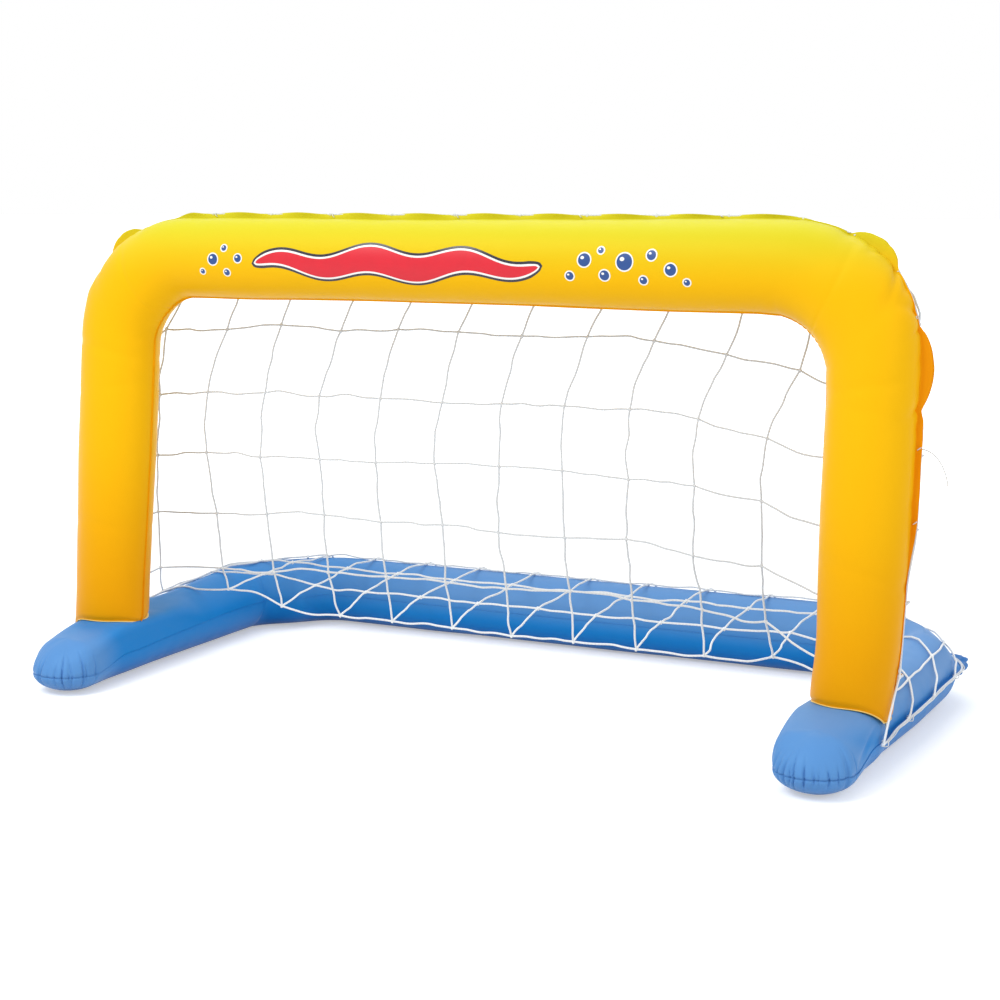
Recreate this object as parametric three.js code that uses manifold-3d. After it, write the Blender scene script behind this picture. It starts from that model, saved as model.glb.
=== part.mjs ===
// Inflatable water polo goal: a yellow arch standing on a blue U-shaped base, with a knotted net.
// Each air chamber is a pair of thin sheets welded along a flat margin. The net is laced to the arch's
// outer margin, hangs behind the mouth, runs back over the base and is laced to the base's outer margin.
// Millimetres, +X to the right, +Y to the back, +Z up. The origin is on the floor, in the middle of
// the goal's overall width and depth.
import * as THREE from "three";
import { mergeVertices } from "three/addons/utils/BufferGeometryUtils.js";
import Module from "manifold-3d";

const wasm = await Module();
wasm.setup();

// Sheets and weld margins
const sheetThickness = 0.3;
const clearance = 0.3;
const weldMargin = 9;
const innerWeldMargin = 4;

// Arch: a flattened tube bent over the mouth, leaning back a little on its two legs
const overallWidth = 1422;
const overallHeight = 766;
const tubeHalfWidth = 64;
const tubeHalfDepth = 57;
const tubeFlatHalf = 12;
const archCornerRadius = 138;
const archCornerFullness = 10;
const archLean = THREE.MathUtils.degToRad(5.8);
const legHalfWidth = 58;
const legHalfDepth = 57;
const legTaperHeight = 240;
const footTuck = 15;
const footTuckHeight = 14;
const endPatchMargin = 5;

// Base: a U-shaped tube lying on the floor, its arms ending in round toes ahead of the legs
const baseHalfWidth = 57;
const armHalfHeight = 49;
const rearHalfHeight = 60;
const baseFlatHalf = 14;
const baseCornerRadius = 150;
const toeReach = 181;
const rearReach = 528;
const legSeatHalf = 49;
const legSeatReach = 63;
const legSeatBlend = 8;

// Net: square meshes of one cord, laced with a thinner cord through holes in the weld margins
const netCordDiameter = 2.2;
const lacingDiameter = 1.6;
const meshWidth = 110;
const meshHeight = 102;
const meshColumns = 14;
const sideColumns = 2;
const hangingRows = 7;
const floorRows = 4;
const topShift = -26;
const lowerEdgeDrift = -79;
const leftEdgeDriftShare = 0.35;
const netStandOff = 6;
const netStubGap = 2;
const foldReach = 207;
const foldHeight = 93;
const cornerEdgeInset = -13;
const armTieStart = 54;
const armTieLead = 70;
const firstHoleReach = -35;
const lacingHoleRadius = 1.5;
const lacingHoleInset = 6;
const edgeCordInset = 2;
const lacingHoleOffset = 8;
const lacingFrontLift = 2.5;
const lacingBendStep = 25;

// Loose end of the arch's lacing, from its last hole on the right leg: out, back and up of the hole
const tailRoute = [
  [0, 0, 0],
  [0, 3, 0],
  [1, 6, 0],
  [3.5, 8.4, -0.3],
  [7.5, 9.8, -1.2],
  [12, 10.2, -3],
  [16.5, 10, -5.6],
  [20.8, 9.6, -9],
  [24.8, 9.1, -13],
  [28.3, 8.6, -17.5],
  [31.4, 8.1, -22.4],
  [34, 7.6, -27.6],
  [36.2, 7.1, -33],
  [38, 6.7, -38.6],
  [39.4, 6.3, -44.3],
  [40.5, 6, -50],
];

// Inflation valves: a flange on the sheet, a stem that pushes in, a tethered plug and a check flap
const valveFlangeRadius = 12;
const valveFlangeThickness = 0.8;
const valveCollarRadius = 7.6;
const valveCollarHeight = 3;
const valveStemRadius = 5.5;
const valveBoreRadius = 3.5;
const valveStemOut = 12;
const valveStemIn = 4;
const valveRimRadius = 7.4;
const valveRimThickness = 1.2;
const plugTipLength = 3.5;
const plugTipTaper = 1.2;
const plugCapRadius = 6.5;
const plugCapThickness = 1.6;
const tetherWidth = 4;
const tetherThickness = 1.2;
const tetherReach = 11;
const earThickness = 0.8;
const flapThickness = 0.6;
const archValveRow = 3.6;
const baseValveX = -50;

// Facets
const quarterSteps = 4;
const cornerSteps = 6;
const toeSteps = 8;
const barSteps = 2;
const cordSides = 6;
const roundSides = 12;
const holeSides = 6;

// Places that follow from the sizes
const cordRadius = netCordDiameter / 2;
const lacingRadius = lacingDiameter / 2;
const cordReach = cordRadius * Math.SQRT2;
const legX = overallWidth / 2 - weldMargin - tubeHalfWidth;
const seamHeight = armHalfHeight;
const lacingReach = weldMargin + clearance + lacingRadius;
const frontReach = toeReach + weldMargin;
const backReach = rearReach + baseHalfWidth + lacingReach + lacingRadius;
const footY = (frontReach - backReach) / 2;
const leanSin = Math.sin(archLean);
const leanCos = Math.cos(archLean);
const barRise = (overallHeight - weldMargin * leanCos - seamHeight) / leanCos - tubeHalfWidth;
const archArcX = legX - archCornerRadius;
const archArcRise = barRise - archCornerRadius;
const baseArcX = legX - baseCornerRadius;
const baseArcY = rearReach - baseCornerRadius;
const archSeamRadius = archCornerRadius + tubeHalfWidth;
const baseSeamRadius = baseCornerRadius + baseHalfWidth;
const archCornerArc = (archSeamRadius * Math.PI) / 2;
const baseCornerArc = (baseSeamRadius * Math.PI) / 2;
const seatHeight = 2 * armHalfHeight;
const patchBottom = seatHeight + clearance;
const legBottom = patchBottom + sheetThickness + clearance;
const footRise = (legBottom - seamHeight) / leanCos;
const legTaperStart = footRise + footTuckHeight;
const edgeOut = weldMargin - edgeCordInset;
const edgeLift = clearance / 2 + sheetThickness + clearance + cordReach;
const lacingCrossLift = edgeLift + cordReach + clearance + lacingRadius;
const holeOut = weldMargin - lacingHoleInset;
const middleColumn = meshColumns / 2;
const hangingHalf = middleColumn - sideColumns;
const foldRow = hangingRows;
const rearRow = foldRow + floorRows - 1;
const lastRow = foldRow + floorRows;
const rampStart = legSeatReach + legSeatBlend;
const rampEnd = armTieStart + (rearRow - foldRow) * meshHeight;
const archValveRise = archArcRise + cornerEdgeInset - (archValveRow - sideColumns) * meshHeight;

const vec = (x, y, z) => new THREE.Vector3(x, y, z);
const clamp01 = (t) => Math.min(1, Math.max(0, t));
const smooth = (t) => clamp01(t) ** 2 * (3 - 2 * clamp01(t));
const mix = (a, b, t) => a + (b - a) * t;
const quarterTurn = Math.PI / 2;
const counted = (count) => Array.from({ length: count + 1 }, (_, k) => k);

// A point of the arch's leaning plane: x across, rise up the plane, back out of it.
const archPoint = (x, rise, back) =>
  vec(x, footY + rise * leanSin + back * leanCos, seamHeight + rise * leanCos - back * leanSin);

// The leg narrows and deepens towards its foot.
const legShare = (rise) => clamp01((rise - legTaperStart) / legTaperHeight);
const halfWidthAt = (rise) => mix(legHalfWidth, tubeHalfWidth, legShare(rise));
const halfDepthAt = (rise) => mix(legHalfDepth, tubeHalfDepth, legShare(rise));

// The arch's outer side stands out a little further in the middle of its corners.
const fullnessAt = (angle) => archCornerFullness * Math.sin(2 * angle) ** 2;

// The base's tube grows along its arms, from the feet to the corners.
const baseHalfHeightAt = (reach) =>
  mix(armHalfHeight, rearHalfHeight, clamp01((reach - rampStart) / (rampEnd - rampStart)));

// The arch's outer seam line by its length from the middle of the crossbar, with a place beside it:
// out from the tube in the arch's plane, and back out of that plane.
function archSeam(length, out, back) {
  const side = Math.sign(length) || 1;
  const along = Math.abs(length);
  if (along <= archArcX) {
    return archPoint(length, barRise + tubeHalfWidth + out, back);
  }
  if (along <= archArcX + archCornerArc) {
    const angle = (along - archArcX) / archSeamRadius;
    const radius = archSeamRadius + out + fullnessAt(angle);
    const x = archArcX + radius * Math.sin(angle);
    return archPoint(side * x, archArcRise + radius * Math.cos(angle), back);
  }
  const rise = archArcRise - (along - archArcX - archCornerArc);
  return archPoint(side * (legX + halfWidthAt(rise) + out), rise, back);
}

// The base's outer seam line by its length from the middle of the rear bar, with a place out and up.
function baseSeam(length, out, up) {
  const side = Math.sign(length) || 1;
  const along = Math.abs(length);
  if (along <= baseArcX) {
    return vec(length, footY + rearReach + baseHalfWidth + out, rearHalfHeight + up);
  }
  if (along <= baseArcX + baseCornerArc) {
    const angle = (along - baseArcX) / baseSeamRadius;
    const radius = baseSeamRadius + out;
    const x = side * (baseArcX + radius * Math.sin(angle));
    return vec(x, footY + baseArcY + radius * Math.cos(angle), rearHalfHeight + up);
  }
  const reach = baseArcY - (along - baseArcX - baseCornerArc);
  return vec(side * (legX + baseHalfWidth + out), footY + reach, baseHalfHeightAt(reach) + up);
}

// The seam length of the place that lies so far behind the arch's feet on one of the base's arms.
const armLength = (reach) => baseArcX + baseCornerArc + baseArcY - reach;

// Solids and geometries
function solidOf(geometry) {
  const bare = geometry.index ? geometry.toNonIndexed() : geometry.clone();
  bare.deleteAttribute("normal");
  bare.deleteAttribute("uv");
  const merged = mergeVertices(bare, 1e-3);
  const index = merged.index.array;
  const kept = [];
  for (let i = 0; i < index.length; i += 3) {
    const [a, b, c] = [index[i], index[i + 1], index[i + 2]];
    if (a !== b && b !== c && c !== a) {
      kept.push(a, b, c);
    }
  }
  const made = (triangles) =>
    new wasm.Manifold(
      new wasm.Mesh({
        numProp: 3,
        vertProperties: new Float32Array(merged.attributes.position.array),
        triVerts: new Uint32Array(triangles),
      }),
    );
  const solid = made(kept);
  if (solid.volume() > 0) {
    return solid;
  }
  for (let i = 0; i < kept.length; i += 3) {
    [kept[i + 1], kept[i + 2]] = [kept[i + 2], kept[i + 1]];
  }
  return made(kept);
}

function geometryOf(solid) {
  const mesh = solid.getMesh();
  const stride = mesh.numProp;
  const positions = new Float32Array(mesh.numVert * 3);
  for (let i = 0; i < mesh.numVert; i += 1) {
    positions.set(mesh.vertProperties.subarray(i * stride, i * stride + 3), i * 3);
  }
  const geometry = new THREE.BufferGeometry();
  geometry.setAttribute("position", new THREE.BufferAttribute(positions, 3));
  geometry.setIndex(new THREE.BufferAttribute(new Uint32Array(mesh.triVerts), 1));
  geometry.computeVertexNormals();
  return geometry;
}

function geometryFromFaces(faces) {
  const positions = [];
  for (const [first, ...rest] of faces) {
    for (let i = 0; i + 1 < rest.length; i += 1) {
      for (const p of [first, rest[i], rest[i + 1]]) {
        positions.push(p.x, p.y, p.z);
      }
    }
  }
  const geometry = new THREE.BufferGeometry();
  geometry.setAttribute("position", new THREE.Float32BufferAttribute(positions, 3));
  return geometry;
}

// A sheet between two grids of points of the same size. A looped grid joins its last row to its
// first, and its last column is the spine where the two sides meet, so only its rim is closed off.
function sheetSolid(outer, inner, looped) {
  const faces = [];
  const rows = outer.length;
  const last = outer[0].length - 1;
  const rowPairs = looped ? rows : rows - 1;
  for (let i = 0; i < rowPairs; i += 1) {
    const next = (i + 1) % rows;
    for (let j = 0; j < last; j += 1) {
      faces.push([outer[i][j], outer[next][j], outer[next][j + 1], outer[i][j + 1]]);
      faces.push([inner[i][j], inner[i][j + 1], inner[next][j + 1], inner[next][j]]);
    }
    faces.push([outer[i][0], inner[i][0], inner[next][0], outer[next][0]]);
    if (!looped) {
      faces.push([outer[i][last], outer[next][last], inner[next][last], inner[i][last]]);
    }
  }
  if (!looped) {
    for (const i of [0, rows - 1]) {
      for (let j = 0; j < last; j += 1) {
        const strip = [outer[i][j], outer[i][j + 1], inner[i][j + 1], inner[i][j]];
        faces.push(i === 0 ? strip : strip.reverse());
      }
    }
  }
  return solidOf(geometryFromFaces(faces));
}

// Half of a tube's section, from the edge of the weld margin to the middle of the sheet, as pairs of
// a place across the tube and a height off the seam plane.
function halfSection({ halfWidth, halfDepth, flatHalf, margin }, inset) {
  const lift = clearance / 2 + (inset ? 0 : sheetThickness);
  const width = halfWidth - inset;
  const depth = halfDepth - inset;
  const points = [[halfWidth + margin, lift], [width, lift]];
  for (let k = 1; k <= quarterSteps; k += 1) {
    const angle = (k / quarterSteps) * quarterTurn;
    const across = flatHalf + (width - flatHalf) * Math.cos(angle);
    points.push([across, Math.max(lift, depth * Math.sin(angle))]);
  }
  points.push([0, depth]);
  return points;
}

// A round bar from one point to another, for cutting holes.
function drill(from, to, radius, sides) {
  const bar = new THREE.CylinderGeometry(radius, radius, from.distanceTo(to), sides);
  const along = to.clone().sub(from).normalize();
  bar.applyQuaternion(new THREE.Quaternion().setFromUnitVectors(vec(0, 1, 0), along));
  const middle = from.clone().add(to).multiplyScalar(0.5);
  bar.translate(middle.x, middle.y, middle.z);
  return solidOf(bar);
}

// Arch panels: stations along the tube, from the left foot over the crossbar to the right foot
function archStations() {
  const stations = [];
  const leg = (side, rise, tuck, level) => stations.push({
    at: (across, back) => {
      const point = archPoint(side * (legX + across), rise, back);
      return level ? vec(point.x, point.y, legBottom) : point;
    },
    halfWidth: halfWidthAt(rise) - tuck,
    halfDepth: halfDepthAt(rise),
  });
  const legRises = [legTaperStart, legTaperStart + legTaperHeight];
  const corner = (side, angle) => stations.push({
    at: (across, back) => {
      const radius = archCornerRadius + across + fullnessAt(angle) * clamp01(across / tubeHalfWidth);
      const x = side * (archArcX + radius * Math.sin(angle));
      return archPoint(x, archArcRise + radius * Math.cos(angle), back);
    },
    halfWidth: tubeHalfWidth,
    halfDepth: tubeHalfDepth,
  });
  const cornerAngles = counted(cornerSteps).map((k) => (k / cornerSteps) * quarterTurn);
  leg(-1, footRise, footTuck, true);
  legRises.forEach((rise) => leg(-1, rise, 0, false));
  [...cornerAngles].reverse().forEach((angle) => corner(-1, angle));
  for (let k = 1; k < barSteps; k += 1) {
    const x = mix(-archArcX, archArcX, k / barSteps);
    stations.push({
      at: (across, back) => archPoint(x, barRise + across, back),
      halfWidth: tubeHalfWidth,
      halfDepth: tubeHalfDepth,
    });
  }
  cornerAngles.forEach((angle) => corner(1, angle));
  [...legRises].reverse().forEach((rise) => leg(1, rise, 0, false));
  leg(1, footRise, footTuck, true);
  return stations;
}

function archPanel(facing) {
  const grid = (inset) => archStations().map(({ at, halfWidth, halfDepth }) => {
    const sizes = { halfWidth, halfDepth, flatHalf: tubeFlatHalf };
    const outward = halfSection({ ...sizes, margin: weldMargin }, inset);
    const inward = halfSection({ ...sizes, margin: innerWeldMargin }, inset)
      .slice(0, -1)
      .reverse()
      .map(([across, lift]) => [-across, lift]);
    return [...outward, ...inward].map(([across, lift]) => at(across, facing * lift));
  });
  return sheetSolid(grid(0), grid(sheetThickness), false);
}

// Base panels: the seam line round the whole U, each place with its spine point and its direction
function baseOutline() {
  const outline = [];
  const toeY = baseHalfWidth - toeReach;
  const add = (x, reach, dx, dy, flatHalf) =>
    outline.push({ x, y: footY + reach, dx, dy, flatHalf, halfHeight: baseHalfHeightAt(reach) });
  const toe = (x) => counted(toeSteps).forEach((k) => {
    const angle = (k / toeSteps) * Math.PI;
    add(x, toeY, Math.cos(angle), -Math.sin(angle), baseFlatHalf);
  });
  const seat = (x, facing, backwards) => {
    const reaches = [-legSeatReach, legSeatReach];
    (backwards ? reaches.reverse() : reaches).forEach((y) => add(x, y, facing, 0, legSeatHalf));
  };
  const ramp = (x, facing, backwards) => {
    const reaches = [rampStart, rampEnd];
    (backwards ? reaches.reverse() : reaches).forEach((y) => add(x, y, facing, 0, baseFlatHalf));
  };
  const corner = (side, facing, backwards) => {
    const turns = counted(cornerSteps);
    (backwards ? turns.reverse() : turns).forEach((k) => {
      const angle = (k / cornerSteps) * quarterTurn;
      const [across, along] = [side * Math.sin(angle), Math.cos(angle)];
      const x = side * baseArcX + baseCornerRadius * across;
      const y = baseArcY + baseCornerRadius * along;
      add(x, y, facing * across, facing * along, baseFlatHalf);
    });
  };
  toe(-legX);
  seat(-legX, -1, false);
  ramp(-legX, -1, false);
  corner(-1, 1, true);
  corner(1, 1, false);
  ramp(legX, 1, true);
  seat(legX, 1, true);
  toe(legX);
  seat(legX, -1, false);
  ramp(legX, -1, false);
  corner(1, -1, true);
  corner(-1, -1, false);
  ramp(-legX, 1, true);
  seat(-legX, 1, true);
  return outline;
}

function basePanel(facing) {
  const grid = (inset) => baseOutline().map(({ x, y, dx, dy, flatHalf, halfHeight }) => {
    const section = halfSection({
      halfWidth: baseHalfWidth,
      halfDepth: halfHeight,
      flatHalf: facing > 0 ? flatHalf : baseFlatHalf,
      margin: weldMargin,
    }, inset);
    const at = (across, lift) => vec(x + dx * across, y + dy * across, halfHeight + facing * lift);
    return section.map(([across, lift]) => at(across, lift));
  });
  return sheetSolid(grid(0), grid(sheetThickness), true);
}

// The flat oval patch that closes a leg's foot and is welded on the base's top sheet
function legEndPanel(side) {
  const sizes = {
    halfWidth: legHalfWidth - footTuck + endPatchMargin,
    halfDepth: legHalfDepth + endPatchMargin,
    flatHalf: tubeFlatHalf,
    margin: 0,
  };
  const quarter = halfSection(sizes, 0).slice(1, -1).map(([across, lift]) => new THREE.Vector2(across, lift));
  const mirrored = (points, sx, sy) => points.map((p) => new THREE.Vector2(sx * p.x, sy * p.y));
  const outline = new THREE.Shape([
    ...quarter,
    ...mirrored(quarter, -1, 1).reverse(),
    ...mirrored(quarter, -1, -1),
    ...mirrored(quarter, 1, -1).reverse(),
  ]);
  const plate = new THREE.ExtrudeGeometry(outline, { depth: sheetThickness, bevelEnabled: false });
  const lean = ((legBottom - seamHeight) * leanSin) / leanCos;
  plate.translate(side * legX, footY + lean, patchBottom);
  return solidOf(plate);
}

// Where the net's edge is tied: seam lengths along the arch for its top row and its side rows, and
// along the base for its side rows and its last row
const topEnd = (side) => Math.abs(side * hangingHalf * meshWidth + topShift);
const driftShare = (fromMiddle) => mix(leftEdgeDriftShare, 1, clamp01(fromMiddle + hangingHalf));
const rearPlace = (fromMiddle) =>
  fromMiddle * meshWidth + topShift + lowerEdgeDrift * driftShare(fromMiddle);
const rearEnd = (side) => Math.abs(rearPlace(side * hangingHalf));
const sideStart = archArcX + archCornerArc - cornerEdgeInset;

function topLength(side, beside) {
  return topEnd(side) + (beside * (sideStart - topEnd(side))) / (2 * sideColumns);
}

function sideLength(side, row) {
  if (row >= sideColumns) {
    return sideStart + (row - sideColumns) * meshHeight;
  }
  return topLength(side, sideColumns + row);
}

function rearLength(side, beside) {
  return rearEnd(side) + (beside * (armEdgeLength(rearRow) - rearEnd(side))) / (sideColumns + 1);
}

function armEdgeLength(row) {
  return armLength(armTieStart + (row - foldRow) * meshHeight);
}

// A place on the net beside a tube, from the seam at angle 0 over the tube's bulge: out and lift.
function besideTube(angle, halfWidth, halfDepth, flatHalf) {
  if (angle === 0) {
    return [edgeOut, edgeLift];
  }
  const across = flatHalf + (halfWidth - flatHalf + netStandOff) * Math.abs(Math.cos(angle));
  const lift = (halfDepth + netStandOff) * Math.sin(angle);
  return [(angle > quarterTurn ? -across : across) - halfWidth, lift];
}

// How far round its tube a column reaches: just past the top for the hanging columns, then less.
const wrapAngle = (beside) => THREE.MathUtils.degToRad(
  beside <= 0 ? 92 : beside >= sideColumns ? 0 : mix(105, 45, beside - 0.5),
);

// A point of the net by column and row. Row 0 is laced to the crossbar's margin, the fold row lies
// low behind the mouth, and the last row is laced to the rear bar's margin.
function netPoint(column, row) {
  const fromMiddle = column - middleColumn;
  const side = Math.sign(fromMiddle) || 1;
  const beside = Math.abs(fromMiddle) - hangingHalf;
  if (row <= 1) {
    return netOverBar(fromMiddle, side, beside, row);
  }
  if (row >= rearRow) {
    return netOverRear(fromMiddle, side, beside, lastRow - row);
  }
  if (beside <= 0) {
    return netBehindMouth(fromMiddle, row);
  }
  if (row < foldRow) {
    const length = sideLength(side, row);
    const rise = archArcRise - Math.max(0, length - archArcX - archCornerArc);
    const [out, back] = besideTube(wrapAngle(beside), halfWidthAt(rise), halfDepthAt(rise), tubeFlatHalf);
    return archSeam(side * length, out, back);
  }
  const reach = rampEnd - (rearRow - row) * meshHeight + armTieLead * (sideColumns - beside);
  const [out, up] = besideTube(wrapAngle(beside), baseHalfWidth, baseHalfHeightAt(reach), baseFlatHalf);
  return baseSeam(side * armLength(reach), out, up);
}

function netOverBar(fromMiddle, side, beside, down) {
  const [out, back] = besideTube(down * wrapAngle(beside), tubeHalfWidth, tubeHalfDepth, tubeFlatHalf);
  if (beside <= 0) {
    return archSeam(fromMiddle * meshWidth + topShift, out, back);
  }
  const lower = mix(topEnd(side), sideLength(side, 1), beside / sideColumns);
  return archSeam(side * mix(topLength(side, beside), lower, down), out, back);
}

function netOverRear(fromMiddle, side, beside, down) {
  const angle = down * Math.min(wrapAngle(beside), quarterTurn);
  const [out, up] = besideTube(angle, baseHalfWidth, rearHalfHeight, baseFlatHalf);
  if (beside <= 0) {
    return baseSeam(rearPlace(fromMiddle), out, up);
  }
  const upper = armEdgeLength(rearRow) - armTieLead * (sideColumns - beside);
  return baseSeam(side * mix(rearLength(side, beside), upper, down), out, up);
}

function netBehindMouth(fromMiddle, row) {
  const drift = Math.sin((quarterTurn * Math.min(row, foldRow)) / foldRow);
  const x = mix(fromMiddle * meshWidth + topShift, rearPlace(fromMiddle), drift);
  const overBase = (reach) => 2 * baseHalfHeightAt(reach) + netStandOff;
  const foldZ = mix(foldHeight, overBase(foldReach), smooth((Math.abs(x) - archArcX * 0.8) / meshWidth));
  if (row <= foldRow) {
    const wrap = besideTube(wrapAngle(0), tubeHalfWidth, tubeHalfDepth, tubeFlatHalf);
    const start = archSeam(0, ...wrap);
    const share = (row - 1) / (foldRow - 1);
    return vec(x, mix(start.y, footY + foldReach, share ** 1.5), mix(start.z, foldZ, share));
  }
  const share = (row - foldRow) / (rearRow - foldRow);
  const y = footY + mix(foldReach, rearReach, share);
  return vec(x, y, mix(foldZ, overBase(rearReach), 1 - (1 - share) ** 2));
}

// A net of square cords: a block at each knot or bend, and a bar to each neighbour that a cord joins.
// A line with no cord only bends the cords that cross it. A stub starts just clear of a neighbour net.
function netSolid(columns, rows) {
  const points = columns.map(({ at: column }) => rows.map(({ at: row }) => netPoint(column, row)));
  const stubStep = 2 * cordReach + netStubGap;
  const stepTowards = (from, to) => from.clone().add(to.clone().sub(from).setLength(stubStep));
  columns.forEach(({ stub }, i) => {
    if (stub) {
      points[i] = points[i].map((point, j) => stepTowards(point, points[i + stub][j]));
    }
  });
  rows.forEach(({ stub }, j) => {
    if (stub) {
      points.forEach((line) => {
        line[j] = stepTowards(line[j], line[j + stub]);
      });
    }
  });
  const between = (list, k) => {
    const low = list[Math.max(0, k - 1)];
    return list[Math.min(list.length - 1, k + 1)].clone().sub(low).normalize();
  };
  const blocks = points.map((line, i) => line.map((point, j) => {
    const along = between(points.map((other) => other[j]), i);
    const down = between(line, j);
    const normal = along.clone().cross(down).normalize();
    const corner = (a, b, c) => point
      .clone()
      .addScaledVector(along, a * cordRadius)
      .addScaledVector(down, b * cordRadius)
      .addScaledVector(normal, c * cordRadius);
    const ring = (c) => [corner(-1, -1, c), corner(1, -1, c), corner(1, 1, c), corner(-1, 1, c)];
    return { low: ring(-1), high: ring(1) };
  }));
  const faces = [];
  const bar = (from, to, [a, b], [c, d]) => {
    faces.push([from.high[a], to.high[c], to.high[d], from.high[b]]);
    faces.push([from.low[a], from.low[b], to.low[d], to.low[c]]);
    faces.push([from.low[a], to.low[c], to.high[c], from.high[a]]);
    faces.push([from.high[b], to.high[d], to.low[d], from.low[b]]);
  };
  const lastColumn = columns.length - 1;
  const bottomRow = rows.length - 1;
  blocks.forEach((line, i) => line.forEach((block, j) => {
    const alongRow = rows[j].cord;
    const downColumn = columns[i].cord;
    if (!alongRow && !downColumn) {
      return;
    }
    faces.push(block.high, [...block.low].reverse());
    const open = [downColumn && j > 0, alongRow && i < lastColumn, downColumn && j < bottomRow, alongRow && i > 0];
    open.forEach((joined, k) => {
      if (!joined) {
        const next = (k + 1) % open.length;
        faces.push([block.low[k], block.low[next], block.high[next], block.high[k]]);
      }
    });
    if (open[1]) {
      bar(block, blocks[i + 1][j], [1, 2], [0, 3]);
    }
    if (open[2]) {
      bar(block, blocks[i][j + 1], [2, 3], [1, 0]);
    }
  }));
  return solidOf(geometryFromFaces(faces));
}

// Lines of the net: cords, bends that no cord follows, and stubs that lead to the next line
const cords = (from, to) => counted(to - from).map((k) => ({ at: from + k, cord: true }));
const bend = (at) => ({ at, cord: false });
const stub = (at, towards) => ({ at, cord: false, stub: towards });
const barWrap = [cords(0, 0)[0], bend(1 / 3), bend(2 / 3)];
const rearWrap = [bend(lastRow - 2 / 3), bend(lastRow - 1 / 3), ...cords(lastRow, lastRow)];
const leftBend = bend((sideColumns - 1) / 2);
const rightBend = bend(meshColumns - (sideColumns - 1) / 2);
const leftColumns = [...cords(0, 0), leftBend, ...cords(1, sideColumns - 1), stub(sideColumns, -1)];
const innerBend = bend(meshColumns - sideColumns + 0.5);
const rightColumns = (shoulder) => [
  stub(meshColumns - sideColumns, 1),
  ...shoulder,
  ...cords(meshColumns - sideColumns + 1, meshColumns - 1),
  rightBend,
  ...cords(meshColumns, meshColumns),
];
const middleColumns = cords(sideColumns, meshColumns - sideColumns);
const legRows = [...barWrap, ...cords(1, foldRow - 1), stub(foldRow, -1)];
const armRows = [...cords(foldRow, rearRow), ...rearWrap];
const hangRows = [...barWrap, ...cords(1, foldRow)];
const floorNetRows = [stub(foldRow, 1), ...cords(foldRow + 1, rearRow), ...rearWrap];

// Lacing: a thin cord that goes round the margin's edge and through a hole at each tie, and runs on
// behind the net's edge cord between them
class Route extends THREE.Curve {
  constructor(points) {
    super();
    this.points = points;
  }

  getPoint(t) {
    const place = clamp01(t) * (this.points.length - 1);
    const index = Math.min(Math.floor(place), this.points.length - 2);
    return this.points[index].clone().lerp(this.points[index + 1], place - index);
  }

  getPointAt(t) {
    return this.getPoint(t);
  }

  getTangentAt(t, target = vec(0, 0, 0)) {
    const index = Math.round(clamp01(t) * (this.points.length - 1));
    const low = this.points[Math.max(0, index - 1)];
    const high = this.points[Math.min(this.points.length - 1, index + 1)];
    return target.copy(high).sub(low).normalize();
  }
}

function tube(points, radius, sides) {
  const ring = counted(sides - 1).map((k) => {
    const angle = (k / sides) * 2 * Math.PI;
    return new THREE.Vector2(radius * Math.cos(angle), radius * Math.sin(angle));
  });
  const route = new Route(points);
  const settings = { steps: points.length - 1, bevelEnabled: false, extrudePath: route };
  return solidOf(new THREE.ExtrudeGeometry(new THREE.Shape(ring), settings));
}

function lacingRoute(seam, holes) {
  const points = [];
  holes.forEach((length, k) => {
    const at = (step, out, lift) => points.push(seam(length + step, out, lift));
    at(-5, lacingReach, lacingFrontLift);
    at(-3, lacingReach, -lacingFrontLift);
    at(0, holeOut, -lacingFrontLift);
    at(0, holeOut, lacingCrossLift);
    if (k + 1 < holes.length) {
      at(5, lacingReach, lacingCrossLift);
      at(9, lacingReach, lacingFrontLift);
      const run = holes[k + 1] - length;
      const bow = Math.max(...[0.25, 0.5, 0.75].map((share) => seam(length, 0, 0)
        .lerp(seam(length + run, 0, 0), share)
        .distanceTo(seam(length + run * share, 0, 0))));
      const steps = bow > clearance ? Math.ceil(run / lacingBendStep) : 1;
      for (let step = 1; step < steps; step += 1) {
        at((run * step) / steps, lacingReach, lacingFrontLift);
      }
    }
  });
  return points;
}

const every = (list, from, step) => list.filter((_, k) => k >= from && (k - from) % step === 0);
const sideRows = counted(foldRow - 1);
const topTies = (side) => counted(sideColumns - 1).slice(1).map((k) => side * topLength(side, k));
const archTies = [
  ...[...sideRows].reverse().map((row) => -sideLength(-1, row)),
  ...topTies(-1).reverse(),
  ...counted(2 * hangingHalf).map((k) => (k - hangingHalf) * meshWidth + topShift),
  ...topTies(1),
  ...sideRows.map((row) => sideLength(1, row)),
];
const armRowsAt = counted(rearRow - foldRow).map((k) => foldRow + k);
const rearTies = (side) => counted(sideColumns).slice(1).map((k) => side * rearLength(side, k));
const baseTies = [
  -armLength(firstHoleReach),
  ...armRowsAt.map((row) => -armEdgeLength(row)),
  ...rearTies(-1).reverse(),
  ...counted(2 * hangingHalf).map((k) => rearPlace(k - hangingHalf)),
  ...rearTies(1),
  ...[...armRowsAt].reverse().map((row) => armEdgeLength(row)),
  armLength(firstHoleReach),
];
const holeLength = (length) => length - Math.sign(length) * lacingHoleOffset;
const tailTie = archTies.length - 4;
const archHoles = [archTies[0], ...every(archTies, 1, 2).filter((length) => length <= archTies[tailTie])]
  .map(holeLength);
const legHoles = every(archTies, tailTie + 1, 2).map(holeLength);
const baseHoles = every(baseTies, 0, 2).map(holeLength);

function drilled(panel, seam, holes) {
  return holes.reduce((solid, length) => solid.subtract(
    drill(seam(length, holeOut, -2), seam(length, holeOut, 2), lacingHoleRadius, holeSides),
  ), panel);
}

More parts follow.
